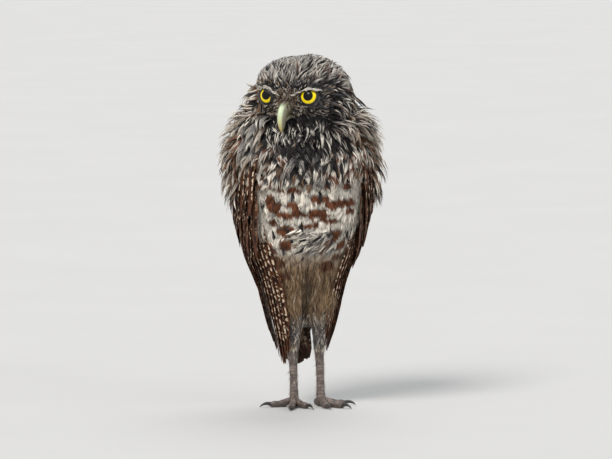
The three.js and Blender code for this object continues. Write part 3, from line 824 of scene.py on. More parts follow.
def head_angles(p: Array) -> Pair:
    """Degrees above level and degrees round from the bill, for places on the head."""
    q = HEAD.to_head(p)
    flat = np.hypot(q[..., 0], q[..., 1])
    return np.degrees(np.arctan2(q[..., 2], flat)), np.degrees(np.arctan2(q[..., 0], -q[..., 1]))


class Leg:
    """Places of one leg's joints, which its skin, scutes and toes share."""
    STANCE = 9.0

    def __init__(self, side: int):
        """Keeps which side the leg is on, 1 for the owl's left."""
        self.side = side
        self.x = float(sway(0.0)) + side * self.STANCE

    def thigh(self) -> Pair:
        """The thigh's centreline and radii."""
        x, s = self.x, self.side
        line = np.array([(x + 1.5 * s, -2, 92), (x + 0.8 * s, -1, 74), (x, 3.5, 57), (x, 8, 36)])
        return line, np.array([(0, 10, 15), (0.35, 9.6, 13.5), (0.62, 7.4, 9.5), (0.85, 4.6, 5.8),
                               (1, 3.4, 4.2)])

    def shank(self) -> Pair:
        """The shank's centreline and radii."""
        x = self.x
        line = np.array([(x, 7.5, 49), (x, 8.6, 41), (x, 4.5, 24), (x, 0.5, 4)])
        return line, np.array([(0, 3.4, 4.2), (0.25, 3.9, 4.6), (0.5, 3, 3.2), (0.8, 2.6, 2.7),
                               (1, 3.2, 3.2)])


@dataclass
class Skin:
    """The one skin under the plumage, inside the coat by its depth."""
    voxel: float = 1.2
    body_depth: float = 1.8
    head_depth: float = 1.4
    columns: int = 96
    orbit_wall: float = 0.75
    socket: float = 5.9

    def body(self) -> Pair:
        """The trunk and neck."""
        z = np.linspace(54, 197, 72)[:, None]
        angle = np.arange(self.columns)[None] * 360 / self.columns
        return tube(BODY.place(z, angle, -self.body_depth))

    def head(self) -> Pair:
        """The head."""
        up = np.linspace(-86, 86, 60)[:, None]
        around = np.arange(self.columns)[None] * 360 / self.columns
        d = HEAD.direction(up, around)
        slim = self.head_depth + 2.2 * np.exp(-((d - unit(np.array([0.9, 0.1, 0.25]))) ** 2).sum(-1) / 0.55)
        return tube(HEAD.to_body(d * (HEAD.reach(d) - slim)[..., None]))

    def wing_core(self, side: int) -> Pair:
        """The folded arm and hand under a wing's feathers."""
        z = np.linspace(103, 174, 40)
        edges = Stations(((101, 52, 170), (140, 51, 163), (175, 52, 152)))(z)
        t = np.linspace(0, 1, 24)
        rows = []
        for height, (front, back) in zip(z, edges):
            angle = side * (front + (back - front) * t)
            swell = np.sin(np.pi * np.clip((height - 101) / 78, 0, 1)) ** 0.4
            outer = WING.place(height, angle, -5.6 - 4.0 * (1 - swell))
            inner = WING.place(height, angle[::-1], -13.0)
            rows.append(np.vstack([outer, inner]))
        return tube(np.array(rows))

    def thigh(self, side: int) -> Pair:
        """One feathered thigh."""
        line, radii = Leg(side).thigh()
        radii = radii.copy()
        radii[:, 1:] = np.maximum(radii[:, 1:] - 1.2, 2.6)
        return tube(swept(line, radii, 32, 40))

    def rump(self) -> Pair:
        """What the tail grows from."""
        line = np.array([(1.0, 20, 96), (1.8, 22.5, 80), (2.6, 24.5, 66)])
        return tube(swept(line, np.array([(0, 15, 8), (0.6, 10, 4.5), (1, 8, 2)]), 32, 16))

    def orbit(self, side: int) -> Pair:
        """The mound that holds one eyeball."""
        up = np.linspace(-86, 86, 40)[:, None]
        around = np.arange(48)[None] * 360 / 48
        ball = HEAD.direction(up, around) * (EYE_RADIUS + self.orbit_wall)
        return tube(HEAD.to_body(ball + eye_centre(side)))

    def carved(self, places: Array) -> Array:
        """The places, with those in front of an iris drawn back behind the eyeball's face."""
        q = HEAD.to_head(places)
        for side in (1, -1):
            axis = eye_axis(side)
            from_eye = q - eye_centre(side)
            depth = from_eye @ axis
            away = np.linalg.norm(from_eye - depth[:, None] * axis, axis=1)
            behind = np.sqrt(np.maximum(EYE_RADIUS ** 2 - away ** 2, 1.0)) - 1.4
            share = (1 - smooth(away, self.socket, self.socket + 0.9)) * (depth > 0)
            q = q + axis * (np.minimum(behind - depth, 0) * share)[:, None]
        return HEAD.to_body(q)

    def make(self) -> tuple[Piece, Ground]:
        """The skin, and the surface that the coat is set on."""
        solids = [self.body(), self.head(), self.rump()]
        for side in (1, -1):
            solids += [self.wing_core(side), self.thigh(side), self.orbit(side)]
        points, faces = joined(solids)
        rough = make_object("skin_rough", points, faces)
        fuse = rough.modifiers.new("fuse", "REMESH")
        fuse.mode, fuse.voxel_size, fuse.use_smooth_shade = "VOXEL", self.voxel * MM, True
        ease = rough.modifiers.new("ease", "SMOOTH")
        ease.factor, ease.iterations = 0.5, 5
        split = rough.modifiers.new("split", "TRIANGULATE")
        split.min_vertices = 4
        skin = settled(rough, "skin")
        mesh = skin.data
        places = self.carved(fetched(mesh.vertices, "co", 3).astype(float) / MM - SHIFT)
        mesh.vertices.foreach_set("co", ((places + SHIFT) * MM).astype(np.float32).ravel())
        mesh.update()
        marks = markings(places)
        # along 0 puts the plumage's painted root shade over the whole skin
        marks.update(along=np.zeros(len(places)), chance=noise(places, 1.3, 4.0))
        for key, numbers in marks.items():
            keep(mesh, key, numbers)
        return skin, Ground(places, fetched(mesh.polygons, "vertices", 3, np.int32))


# Markings

PIXEL = 0.667          # millimetres to a pixel of the photo
OWL_COLUMN = 302       # the pixel column of the photo that the middle of the owl's own frame lies in
SOLE_ROW = 408         # the pixel row of the photo that the soles lie in
FACE = 2.0             # how far outside the body's layer the breast's feathers are seen
SEARCH = np.linspace(-100, 100, 2001)   # the degrees from the front that a mark is looked for at

# Brown bars of the breast, placed in the photo: column, row, half width and half height in pixels
BREAST_BARS = (
    (264, 149, 8, 2.5), (286, 176, 6, 4), (275, 187, 5, 4), (290, 193, 9, 3), (268, 203, 5, 5),
    (273, 210, 4, 5), (294, 208, 6, 4), (284, 218, 7, 3), (299, 216, 6, 4), (286, 232, 8, 5),
    (286, 246, 5, 5), (267, 252, 5, 6), (276, 264, 7, 5), (281, 277, 7, 3.5), (331, 186, 8, 4),
    (322, 201, 8, 4), (345.8, 205.3, 15, 3.75), (352, 187, 5, 4), (352, 178, 5, 3.5), (340, 157, 4, 4),
    (333, 163, 4, 5), (320, 216, 8, 4), (331, 223, 7, 3), (312, 227, 6, 3), (339, 236, 4, 5),
    (326, 238, 5, 2), (329, 268, 6, 5), (339, 258, 5, 3), (334, 210, 3, 2), (311, 178, 3, 2.5),
    (316, 171, 3, 3), (352, 213, 4, 3), (272, 224, 4, 3), (345, 246, 4, 4),
)


def on_breast_at(column: float, row: float, half: float, tall: float) -> Array:
    """A mark of the photo on the breast.

    Args:
        column: The pixel column of its middle.
        row: The pixel row of its middle.
        half: Half its width in pixels.
        tall: Half its height in pixels.

    Returns:
        Its degrees from the front, then its height, half width and half height in millimetres, to a tenth.
    """
    turn, lift = math.radians(VIEW_TURN), math.radians(VIEW_LIFT)
    across, up = (column - OWL_COLUMN) * PIXEL, (SOLE_ROW - row) * PIXEL
    z = np.full_like(SEARCH, up)
    for _ in range(6):
        p = BODY.place(z, SEARCH, FACE)
        depth = p[:, 0] * math.sin(turn) - p[:, 1] * math.cos(turn)
        z = (up + depth * math.sin(lift)) / math.cos(lift)
    p = BODY.place(z, SEARCH, FACE)
    seen = p[:, 0] * math.cos(turn) + p[:, 1] * math.sin(turn)
    nearest = np.argmin(np.abs(seen - across))
    return np.round((SEARCH[nearest], z[nearest], half * PIXEL, tall * PIXEL), 1)


BARS = tuple(on_breast_at(*bar) for bar in BREAST_BARS)


def breast_bars(angle: Array, z: Array) -> Array:
    """How rusty the breast is at each place, from 0 to 1."""
    rust = np.zeros(np.broadcast(angle, z).shape)
    round_here = BODY.stations(z)[..., 0] * np.pi / 180
    for a, height, half, tall in BARS:
        across = (angle - a) * round_here / (half * 1.45)
        inside = 1 - smooth(np.sqrt(across ** 2 + ((z - height) / (tall * 1.28)) ** 2), 0.92, 1.04)
        rust = np.maximum(rust, inside)
    return rust


def scalloped(angle: Array, z: Array, wide: float, tall: float) -> tuple[Array, Array, Array]:
    """Places within staggered rows of feathers."""
    row = np.floor(z / tall)
    across = angle / wide + 0.5 * (row % 2)
    column = np.floor(across)
    chance = hashed(np.stack([column, row, np.zeros_like(row)], -1), 3.0)
    return across - column - 0.5, z / tall - row - 0.5, chance


def markings(p: Array) -> dict[str, Array]:
    """The plumage's colours at each place, as shares laid one over another.

    Args:
        p: Places in millimetres, shape (..., 3).

    Returns:
        The shares of buff, rust, white and black.
    """
    z, angle = p[..., 2], body_angle(p)
    warp = (noise(p, 5.0, 1.0) - 0.5)
    front = 1 - smooth(np.abs(angle + 1), 58, 70)
    fine = noise(p * np.array([1, 1, 0.35]), 1.1, 7.0)
    blot = noise(p, 4.2, 2.0)

    # breast
    breast = front * smooth(z, 100, 110) * (1 - smooth(z + 16 * np.exp(-((angle - 2) / 18) ** 2), 174, 182))
    bars = breast_bars(angle + 5 * warp, z + 2.2 * warp)
    seam = np.exp(-((angle - 1 - 6 * warp) / 3.2) ** 2) * smooth(z, 140, 152)
    pale = breast * (1 - bars) * (0.86 + 0.14 * fine)
    rust = breast * bars
    rim = np.exp(-((bars - 0.45) / 0.28) ** 2) * smooth(noise(p, 3.0, 8.0), 0.3, 0.6)
    dark = breast * np.maximum(seam * 0.85, rim * 0.55)

    # flanks and belly
    belly = front * (1 - smooth(z, 98, 114))
    buff = belly * (0.80 + 0.20 * fine) * smooth(z, 50, 66)
    pale = np.maximum(pale, belly * smooth(z, 92, 110) * (0.40 * fine + 0.20) * (1 - bars))
    rust = np.maximum(rust, belly * bars * 0.85)
    stripe = np.exp(-((angle + 1 + 8 * warp) / 8.0) ** 2) * (1 - smooth(z, 82, 104)) * belly
    dark = np.maximum(dark, np.maximum(0.75 * stripe, 0.35 * belly * bars))

    # back and nape: brown with round pale spots
    back = smooth(np.abs(angle + 2), 62, 80) * (1 - head_share(p))
    u, v, chance = scalloped(angle, z, 13.0, 9.0)
    spot = 1 - smooth(np.sqrt((u * 3.4) ** 2 + ((v + 0.12) * 3.4) ** 2), 0.75, 1.1)
    pale = np.maximum(pale, back * spot * (chance > 0.3) * 0.75)
    rust = np.maximum(rust, back * smooth(blot, 0.55, 0.75) * 0.55)
    dark = np.maximum(dark, back * (1 - spot) * (0.35 + 0.4 * (1 - blot)))
    return {key: np.clip(share, 0, 1) for key, share in zip(SHARES, (buff, rust, pale, dark))}


# Coat

def aslant(p: Array) -> Array:
    """The lie of the ruffled place: towards the owl's right and a little down."""
    return np.broadcast_to(np.array([-1.0, 0.0, -0.55]), p.shape)


def downward(p: Array) -> Array:
    """The lie of body feathers: down, and a little inwards where the body narrows."""
    d = np.zeros_like(p)
    d[..., 2] = -1.0
    d[..., 0] = -0.10 * np.tanh(p[..., 0] / 20) * (1 - smooth(p[..., 2], 100, 150))
    return d


def swept_back(p: Array) -> Array:
    """The lie of head feathers: away from the bill, away from the eyes near them, and down at the neck."""
    q = HEAD.to_head(p)
    n = unit(q)
    bill = unit(np.array([0.0, -1.0, -0.22]))
    away = n * (n @ bill)[..., None] - bill
    flow = unit(away)
    for side in (1, -1):
        eye = eye_centre(side) + 6.0 * unit(eye_centre(side))
        from_eye = q - eye
        near = np.exp(-(np.linalg.norm(from_eye, axis=-1) / 11.0) ** 2)[..., None]
        flow = flow + 1.1 * near * unit(from_eye)
    down = np.zeros_like(q)
    down[..., 2] = -1.0
    turned = np.degrees(np.arccos(np.clip(n @ bill, -1, 1)))
    share = np.maximum(smooth(turned, 66, 128) * (1 - smooth(q[..., 2], 12, 24)), smooth(-q[..., 2], 14, 24))
    share = np.maximum(share, 0.55 * smooth(turned, 52, 78) * (1 - smooth(q[..., 2], 2, 15)))
    flow = unit(flow) * (1 - share[..., None]) + down * share[..., None]
    return HEAD.turned(unit(flow))


@dataclass(frozen=True)
class Tone:
    """One way that a feather of a tract is coloured: its base, its tip, and where the tip starts."""
    weight: float
    base: tuple[float, float, float, float]   # buff, rust, pale, dark
    tip: tuple[float, float, float, float]
    start: float = 0.6
    own: float = 0.0                          # how much of the place's own markings comes through
    where: Optional[Map] = None               # how likely it is at each place, beside its weight


@dataclass(frozen=True)
class Tract:
    """One tract of wet body feathers, each a lock of fine barbs drawn to a point."""
    name: str
    share: Map
    flow: Map
    spacing: float
    length: float
    width: float
    barbs: int
    lift: tuple[float, float, float]          # height over the skin at root, middle and tip
    tones: tuple[Tone, ...]
    flare: Union[float, Map] = 6.0            # degrees that the root points away from the skin
    droop: float = 1.6                        # how far the flare turns over towards the tip
    bend: float = 0.25                        # how far single feathers curve aside
    gather: float = 0.8                       # how far the barbs draw together at the tip
    fray: float = 0.5
    plain: float = 0.0                        # share of the barbs that keep the base's colour to their tips
    fill: float = 0.62                        # half width of a barb as a share of its place in the feather
    jut: float = 0.06                         # unevenness of the barbs' heights, as a share of the width
    hug: float = 0.9                          # how closely the feather follows the skin
    ragged: float = 0.25                      # spread of the lengths
    sway: float = 0.12                        # how far neighbours part from the lie
    steps: int = 6
    size: Optional[Map] = None

    def grow(self, ground: Ground, seed: int) -> Strands:
        """Grows the tract.

        Args:
            ground: The skin.
            seed: Seed of the tract's random numbers.

        Returns:
            The barbs of all its feathers.
        """
        draw = np.random.default_rng(seed)
        roots = ground.scatter(self.share, self.spacing, draw)
        n, k, m = len(roots), self.steps, self.barbs
        t = np.linspace(0, 1, k)
        length = self.length * np.exp(np.clip(draw.normal(0, self.ragged, n), -0.5, 0.3))
        if self.size is not None:
            length = length * self.size(roots)
        tall = curve_through(np.array(self.lift)[:, None], t)[:, 0]
        tall = tall[None] * (0.75 + 0.5 * draw.random((n, 1)))
        spot, normal = ground.nearest(roots)
        clump = (noise(roots, 3.4 * self.spacing, seed) - 0.5) * 2
        path = np.empty((n, k, 3))
        normals = np.empty((n, k, 3))
        path[:, 0] = roots + normal * tall[:, :1]
        normals[:, 0] = normal
        turn = self.sway * (draw.normal(0, 1, n) + 1.6 * clump)
        curl = self.bend * draw.normal(0, 1, n)
        flare = self.flare(roots) if callable(self.flare) else np.full(n, self.flare)
        flare = np.radians(np.minimum(flare * (0.7 + 0.6 * draw.random(n)), 64))
        here = path[:, 0]
        for i in range(1, k):
            flow = self.flow(here)
            flow = unit(flow - normal * (flow * normal).sum(-1, keepdims=True))
            side = np.cross(flow, normal)
            flow = unit(flow + side * (turn + curl * t[i])[:, None])
            rise = (flare * (1 - self.droop * t[i]))[:, None]
            here = here + (flow * np.cos(rise) + normal * np.sin(rise)) * (length / (k - 1))[:, None]
            spot, normal = ground.nearest(here)
            height = ((here - spot) * normal).sum(-1)
            aim = np.maximum(height, tall[:, i] * 0.6)
            aim = aim + (tall[:, i] - aim) * self.hug
            here = spot + normal * aim[:, None] + (here - spot - normal * height[:, None])
            path[:, i], normals[:, i] = here, normal
        along = unit(np.gradient(path, axis=1))
        side = unit(np.cross(along, normals))

        offset = (np.arange(m) + 0.5) / m * 2 - 1
        offset = offset[None] + draw.normal(0, 0.35 / m, (n, m))
        draws = 1 - self.gather * t ** 1.3
        split = draw.normal(0, self.fray, (n, m))
        spread = (offset[..., None] * draws * self.width / 2) + split[..., None] * t ** 2.2
        bow = -0.22 * self.width * offset ** 2
        jut = draw.normal(0, self.jut, (n, m))[..., None] * t ** 1.5 * self.width
        jut = jut + bow[..., None] * (1 - 0.4 * t)
        reach = 1 - 0.22 * np.abs(offset) ** 1.5 - 0.14 * draw.random((n, m))
        at = np.clip(t[None, None] * reach[..., None], 0, 1) * (k - 1)
        low = np.minimum(at.astype(int), k - 2)
        s = (at - low)[..., None]
        rows = np.arange(n)[:, None, None]
        centre = path[rows, low] * (1 - s) + path[rows, low + 1] * s
        normal = unit(normals[rows, low] * (1 - s) + normals[rows, low + 1] * s)
        aside = side[rows, low] * (1 - s) + side[rows, low + 1] * s
        points = centre + aside * spread[..., None] + normal * jut[..., None]
        thin = np.interp(t, np.linspace(0, 1, 6), (1.0, 1.1, 1.05, 0.9, 0.6, 0.12))
        half = self.fill * self.width / m * (0.8 + 0.4 * draw.random((n, m, 1))) * thin
        values = self.colours(roots, centre, t, draw, n, m)
        uv = sheet_place(roots)
        patch = np.stack([np.broadcast_to(offset * 0.42 * Strands.PATCH, (n, m)), np.zeros((n, m))], -1)
        uv = uv[:, None] + patch
        flat = (n * m, k)
        return Strands(points.reshape(*flat, 3), normal.reshape(*flat, 3), half.reshape(flat),
                       (half * 0.75).reshape(flat), uv.reshape(-1, 2),
                       {key: v.reshape(flat) for key, v in values.items()}, barbs=m)

    def colours(self, roots: Array, places: Array, t: Array, draw: np.random.Generator, n: int, m: int
                ) -> dict[str, Array]:
        """The shares of each colour along each barb.

        Args:
            roots: Roots of the feathers.
            places: Middle of each feather beside each point of its barbs.
            t: Places along a barb.
            draw: Source of the random numbers.
            n: Number of feathers.
            m: Barbs in a feather.

        Returns:
            The shares and each barb's own chance.
        """
        weights = np.stack([tone.weight * (tone.where(roots) if tone.where else np.ones(n))
                            for tone in self.tones], -1)
        odds = np.cumsum(weights + 1e-6, axis=1)
        pick = (draw.random((n, 1)) * odds[:, -1:] > odds).sum(1)
        base, tip, start, own = (np.array([getattr(tone, key) for tone in self.tones])[pick]
                                 for key in ("base", "tip", "start", "own"))
        start = start[:, None] + draw.normal(0, 0.07, (n, m)) + 2.0 * (draw.random((n, m)) < self.plain)
        share = smooth(t[None, None] - start[..., None], -0.10, 0.10)[..., None]
        mixed = base[:, None, None] * (1 - share) + tip[:, None, None] * share
        if own.max() > 0:
            shaken = places + draw.normal(0, 0.3, (n, 1, 1, 3))
            marks = markings(shaken)
            local = np.stack([marks[key] for key in SHARES], -1)
            mixed = mixed * (1 - own[:, None, None, None]) + local * own[:, None, None, None]
        chance = np.clip(draw.random((n, 1)) * 0.72 + draw.random((n, m)) * 0.28, 0, 1)
        values = {key: mixed[..., i] for i, key in enumerate(SHARES)}
        values["chance"] = np.broadcast_to(chance[..., None], (n, m, len(t)))
        return values


def sheet_place(p: Array) -> Array:
    """Where a root lies on the unrolled skin, the body's ring on its left half, the head's on its right."""
    up, around = head_angles(p)
    on_head = (p[..., 2] > HEAD_SHEET)[..., None]
    body = np.stack([0.01 + 0.48 * (body_angle(p) / 360 + 0.5),
                     0.01 + 0.98 * np.clip(p[..., 2] / 200, 0, 1)], -1)
    head = np.stack([0.51 + 0.48 * (around / 360 + 0.5), 0.01 + 0.98 * (up / 180 + 0.5)], -1)
    return np.where(on_head, head, body)


def off_eyes(p: Array, radius: float) -> Array:
    """0 on the eyes and their lids, 1 away from them."""
    q = HEAD.to_head(p)
    clear = np.ones(q.shape[:-1])
    for side in (1, -1):
        axis = eye_axis(side)
        from_axis = q - eye_centre(side)
        depth = from_axis @ axis
        away = np.linalg.norm(from_axis - depth[..., None] * axis, axis=-1)
        clear = clear * np.where(depth > 0, away > radius, True)
    return clear


def from_bill(p: Array) -> Array:
    """Degrees between each place on the head and the bill."""
    n = unit(HEAD.to_head(p))
    return np.degrees(np.arccos(np.clip(n @ unit(np.array([0.0, -1.0, -0.30])), -1, 1)))


def on_crown(p: Array) -> Array:
    """The crown and the back of the head."""
    up, around = head_angles(p)
    behind = smooth(np.abs(around), 62, 84)
    return np.maximum(smooth(up, 17, 22), behind * smooth(up, 4, 12)) * (p[..., 2] > 200) * off_eyes(p, 8.2)


def on_forecrown(p: Array) -> Array:
    """The fore part of the crown and its right side."""
    return on_crown(p) * (head_angles(p)[1] + 10 * (noise(p, 6.0, 3.0) - 0.5) < 16)


def on_hindcrown(p: Array) -> Array:
    """The rest of the crown, with longer feathers."""
    return on_crown(p) * (head_angles(p)[1] + 10 * (noise(p, 6.0, 3.0) - 0.5) >= 10)


def on_face(p: Array) -> Array:
    """The face round the eyes and bill."""
    up, around = head_angles(p)
    return between(up, -30, 21) * (np.abs(around) < 70) * off_eyes(p, 6.7) * (from_bill(p) > 8)


def on_cheek(p: Array) -> Array:
    """The sides of the head behind the face, down to the cowl."""
    up, around = head_angles(p)
    edge = np.where(around < 0, 50, 58)
    high = np.where(around < 0, 9, 16)
    return ((up <= high) & (np.abs(around) >= edge) & (p[..., 2] > 188)).astype(float)


def between(x: Array, low: float, high: float) -> Array:
    """1 where x lies between low and high, else 0."""
    return ((x > low) & (x <= high)).astype(float)


def on_throat(p: Array) -> Array:
    """The chin and the front of the neck."""
    angle = body_angle(p) + 16 * (noise(p, 6.0, 12.0) - 0.5)
    low = 175 - 8 * np.exp(-((angle - 4) / 17) ** 4)
    return between(p[..., 2], low, 198) * between(angle, -48, 44) * (from_bill(p) > 17)


def on_chest(p: Array) -> Array:
    """The top of the breast, under the throat."""
    angle = body_angle(p)
    high = 179 - 10 * np.exp(-((angle - 4) / 17) ** 4) + 11 * smooth(angle, 38, 50)
    return between(p[..., 2] + 5 * (noise(p, 5.0, 14.0) - 0.5), 157, high) * between(angle, -56, 72)


def on_bib(p: Array) -> Array:
    """The two drawn-out points of black feathers that hang from the throat over the breast."""
    angle = body_angle(p)
    return between(p[..., 2], 166, 179) * np.maximum(between(angle, -6, 5), between(angle, 14, 27))


def on_tousle(p: Array) -> Array:
    """The ruffled place low on the breast."""
    angle = body_angle(p)
    return between(p[..., 2], 109, 124) * between(angle + 0.6 * (p[..., 2] - 116), -10, 30)


def on_nape(p: Array) -> Array:
    """The sides and back of the neck."""
    angle = body_angle(p) + 3
    high = np.where(np.abs(angle) > 62, 204, 197)
    low = np.where((angle > 0) & (angle < 74), 189, 172)
    return between(p[..., 2], low, high) * (np.abs(angle) >= 45)


def on_bands(p: Array) -> Array:
    """Where broad smooth locks hang beside the throat, higher and further round on the left."""
    angle, z = body_angle(p), p[..., 2]
    right = between(angle, -66, -48) * between(z, 182, 196)
    return on_nape(p) * np.maximum(right, between(angle, 60, 80) * (z > 188))


def on_crest(p: Array) -> Array:
    """The top of the cowl on the left side, where it stands away from the head."""
    return between(body_angle(p), 58, 118) * between(p[..., 2], 196, 210)


def on_russet(p: Array) -> Array:
    """The smooth red-brown patch on the right side of the cowl."""
    return between(body_angle(p), -82, -60) * between(p[..., 2], 166, 184)


def on_cowl_points(p: Array) -> Array:
    """Where the cowl's pale points stand, thinner beside the breast."""
    return on_nape(p) * (0.35 + 0.65 * smooth(np.abs(body_angle(p) + 3), 50, 74))


def on_shoulder(p: Array) -> Array:
    """The shoulders, over the tops of the wings."""
    angle = body_angle(p)
    return between(p[..., 2], 150, 178) * between(np.abs(angle), np.where(angle > 0, 66, 50), 156)


def on_breast(p: Array) -> Array:
    """The breast between the wings."""
    angle = body_angle(p)
    high = np.where(angle > 20, 172, 164)
    return between(p[..., 2], 106, high) * (np.abs(angle) < 62) * (on_tousle(p) < 0.5)


def on_belly(p: Array) -> Array:
    """The belly, the flanks and the vent."""
    return between(p[..., 2], 50, 108) * (np.abs(body_angle(p)) < 96)


def on_back(p: Array) -> Array:
    """The back between the wings, down to the rump."""
    return between(p[..., 2], 62, 178) * (np.abs(body_angle(p)) > 140)


def on_thigh(p: Array) -> Array:
    """The thighs, where they stand clear of the body."""
    return ((p[..., 2] <= 66) & (p[..., 2] > 37)).astype(float)


def above(height: float, soft: float = 4.0) -> Map:
    """A likelihood that is 1 above a height and 0 below it."""
    return lambda p: smooth(p[..., 2], height - soft, height + soft)


def below(height: float, soft: float = 4.0) -> Map:
    """A likelihood that is 1 below a height and 0 above it."""
    return lambda p: 1 - smooth(p[..., 2], height - soft, height + soft)


def aside_from(low: float, high: float) -> Map:
    """A likelihood that is 1 on both sides of the body between two angles from the front."""
    return lambda p: between(np.abs(body_angle(p) + 3) + 14 * (noise(p, 6.0, 9.0) - 0.5), low, high)


def near_bill(p: Array) -> Array:
    """A likelihood that is 1 beside the bill and 0 away from it."""
    return 1 - smooth(from_bill(p), 14, 26)


def on_right(p: Array) -> Array:
    """A likelihood that is 1 on the right side of the head and 0 on its left."""
    return 1 - smooth(head_angles(p)[1], -40, -10)


# buff, rust, pale and dark
SLATE, GREY, SILVER = (0.0, 0.0, 0.03, 0.0), (0.06, 0.0, 0.15, 0.0), (0.03, 0.0, 0.44, 0.0)
BLACK, SOOT, DIM = (0.0, 0.0, 0.0, 0.95), (0.0, 0.0, 0.0, 0.70), (0.15, 0.0, 0.0, 0.40)
WHITE, CREAM, BUFF = (0.0, 0.0, 1.0, 0.0), (0.7, 0.0, 0.62, 0.0), (1.0, 0.0, 0.05, 0.0)
RUST, BROWN = (0.3, 0.9, 0.0, 0.0), (0.8, 0.50, 0.04, 0.12)
FAWN, ROSE = (0.85, 0.22, 0.26, 0.0), (0.35, 0.35, 0.34, 0.0)

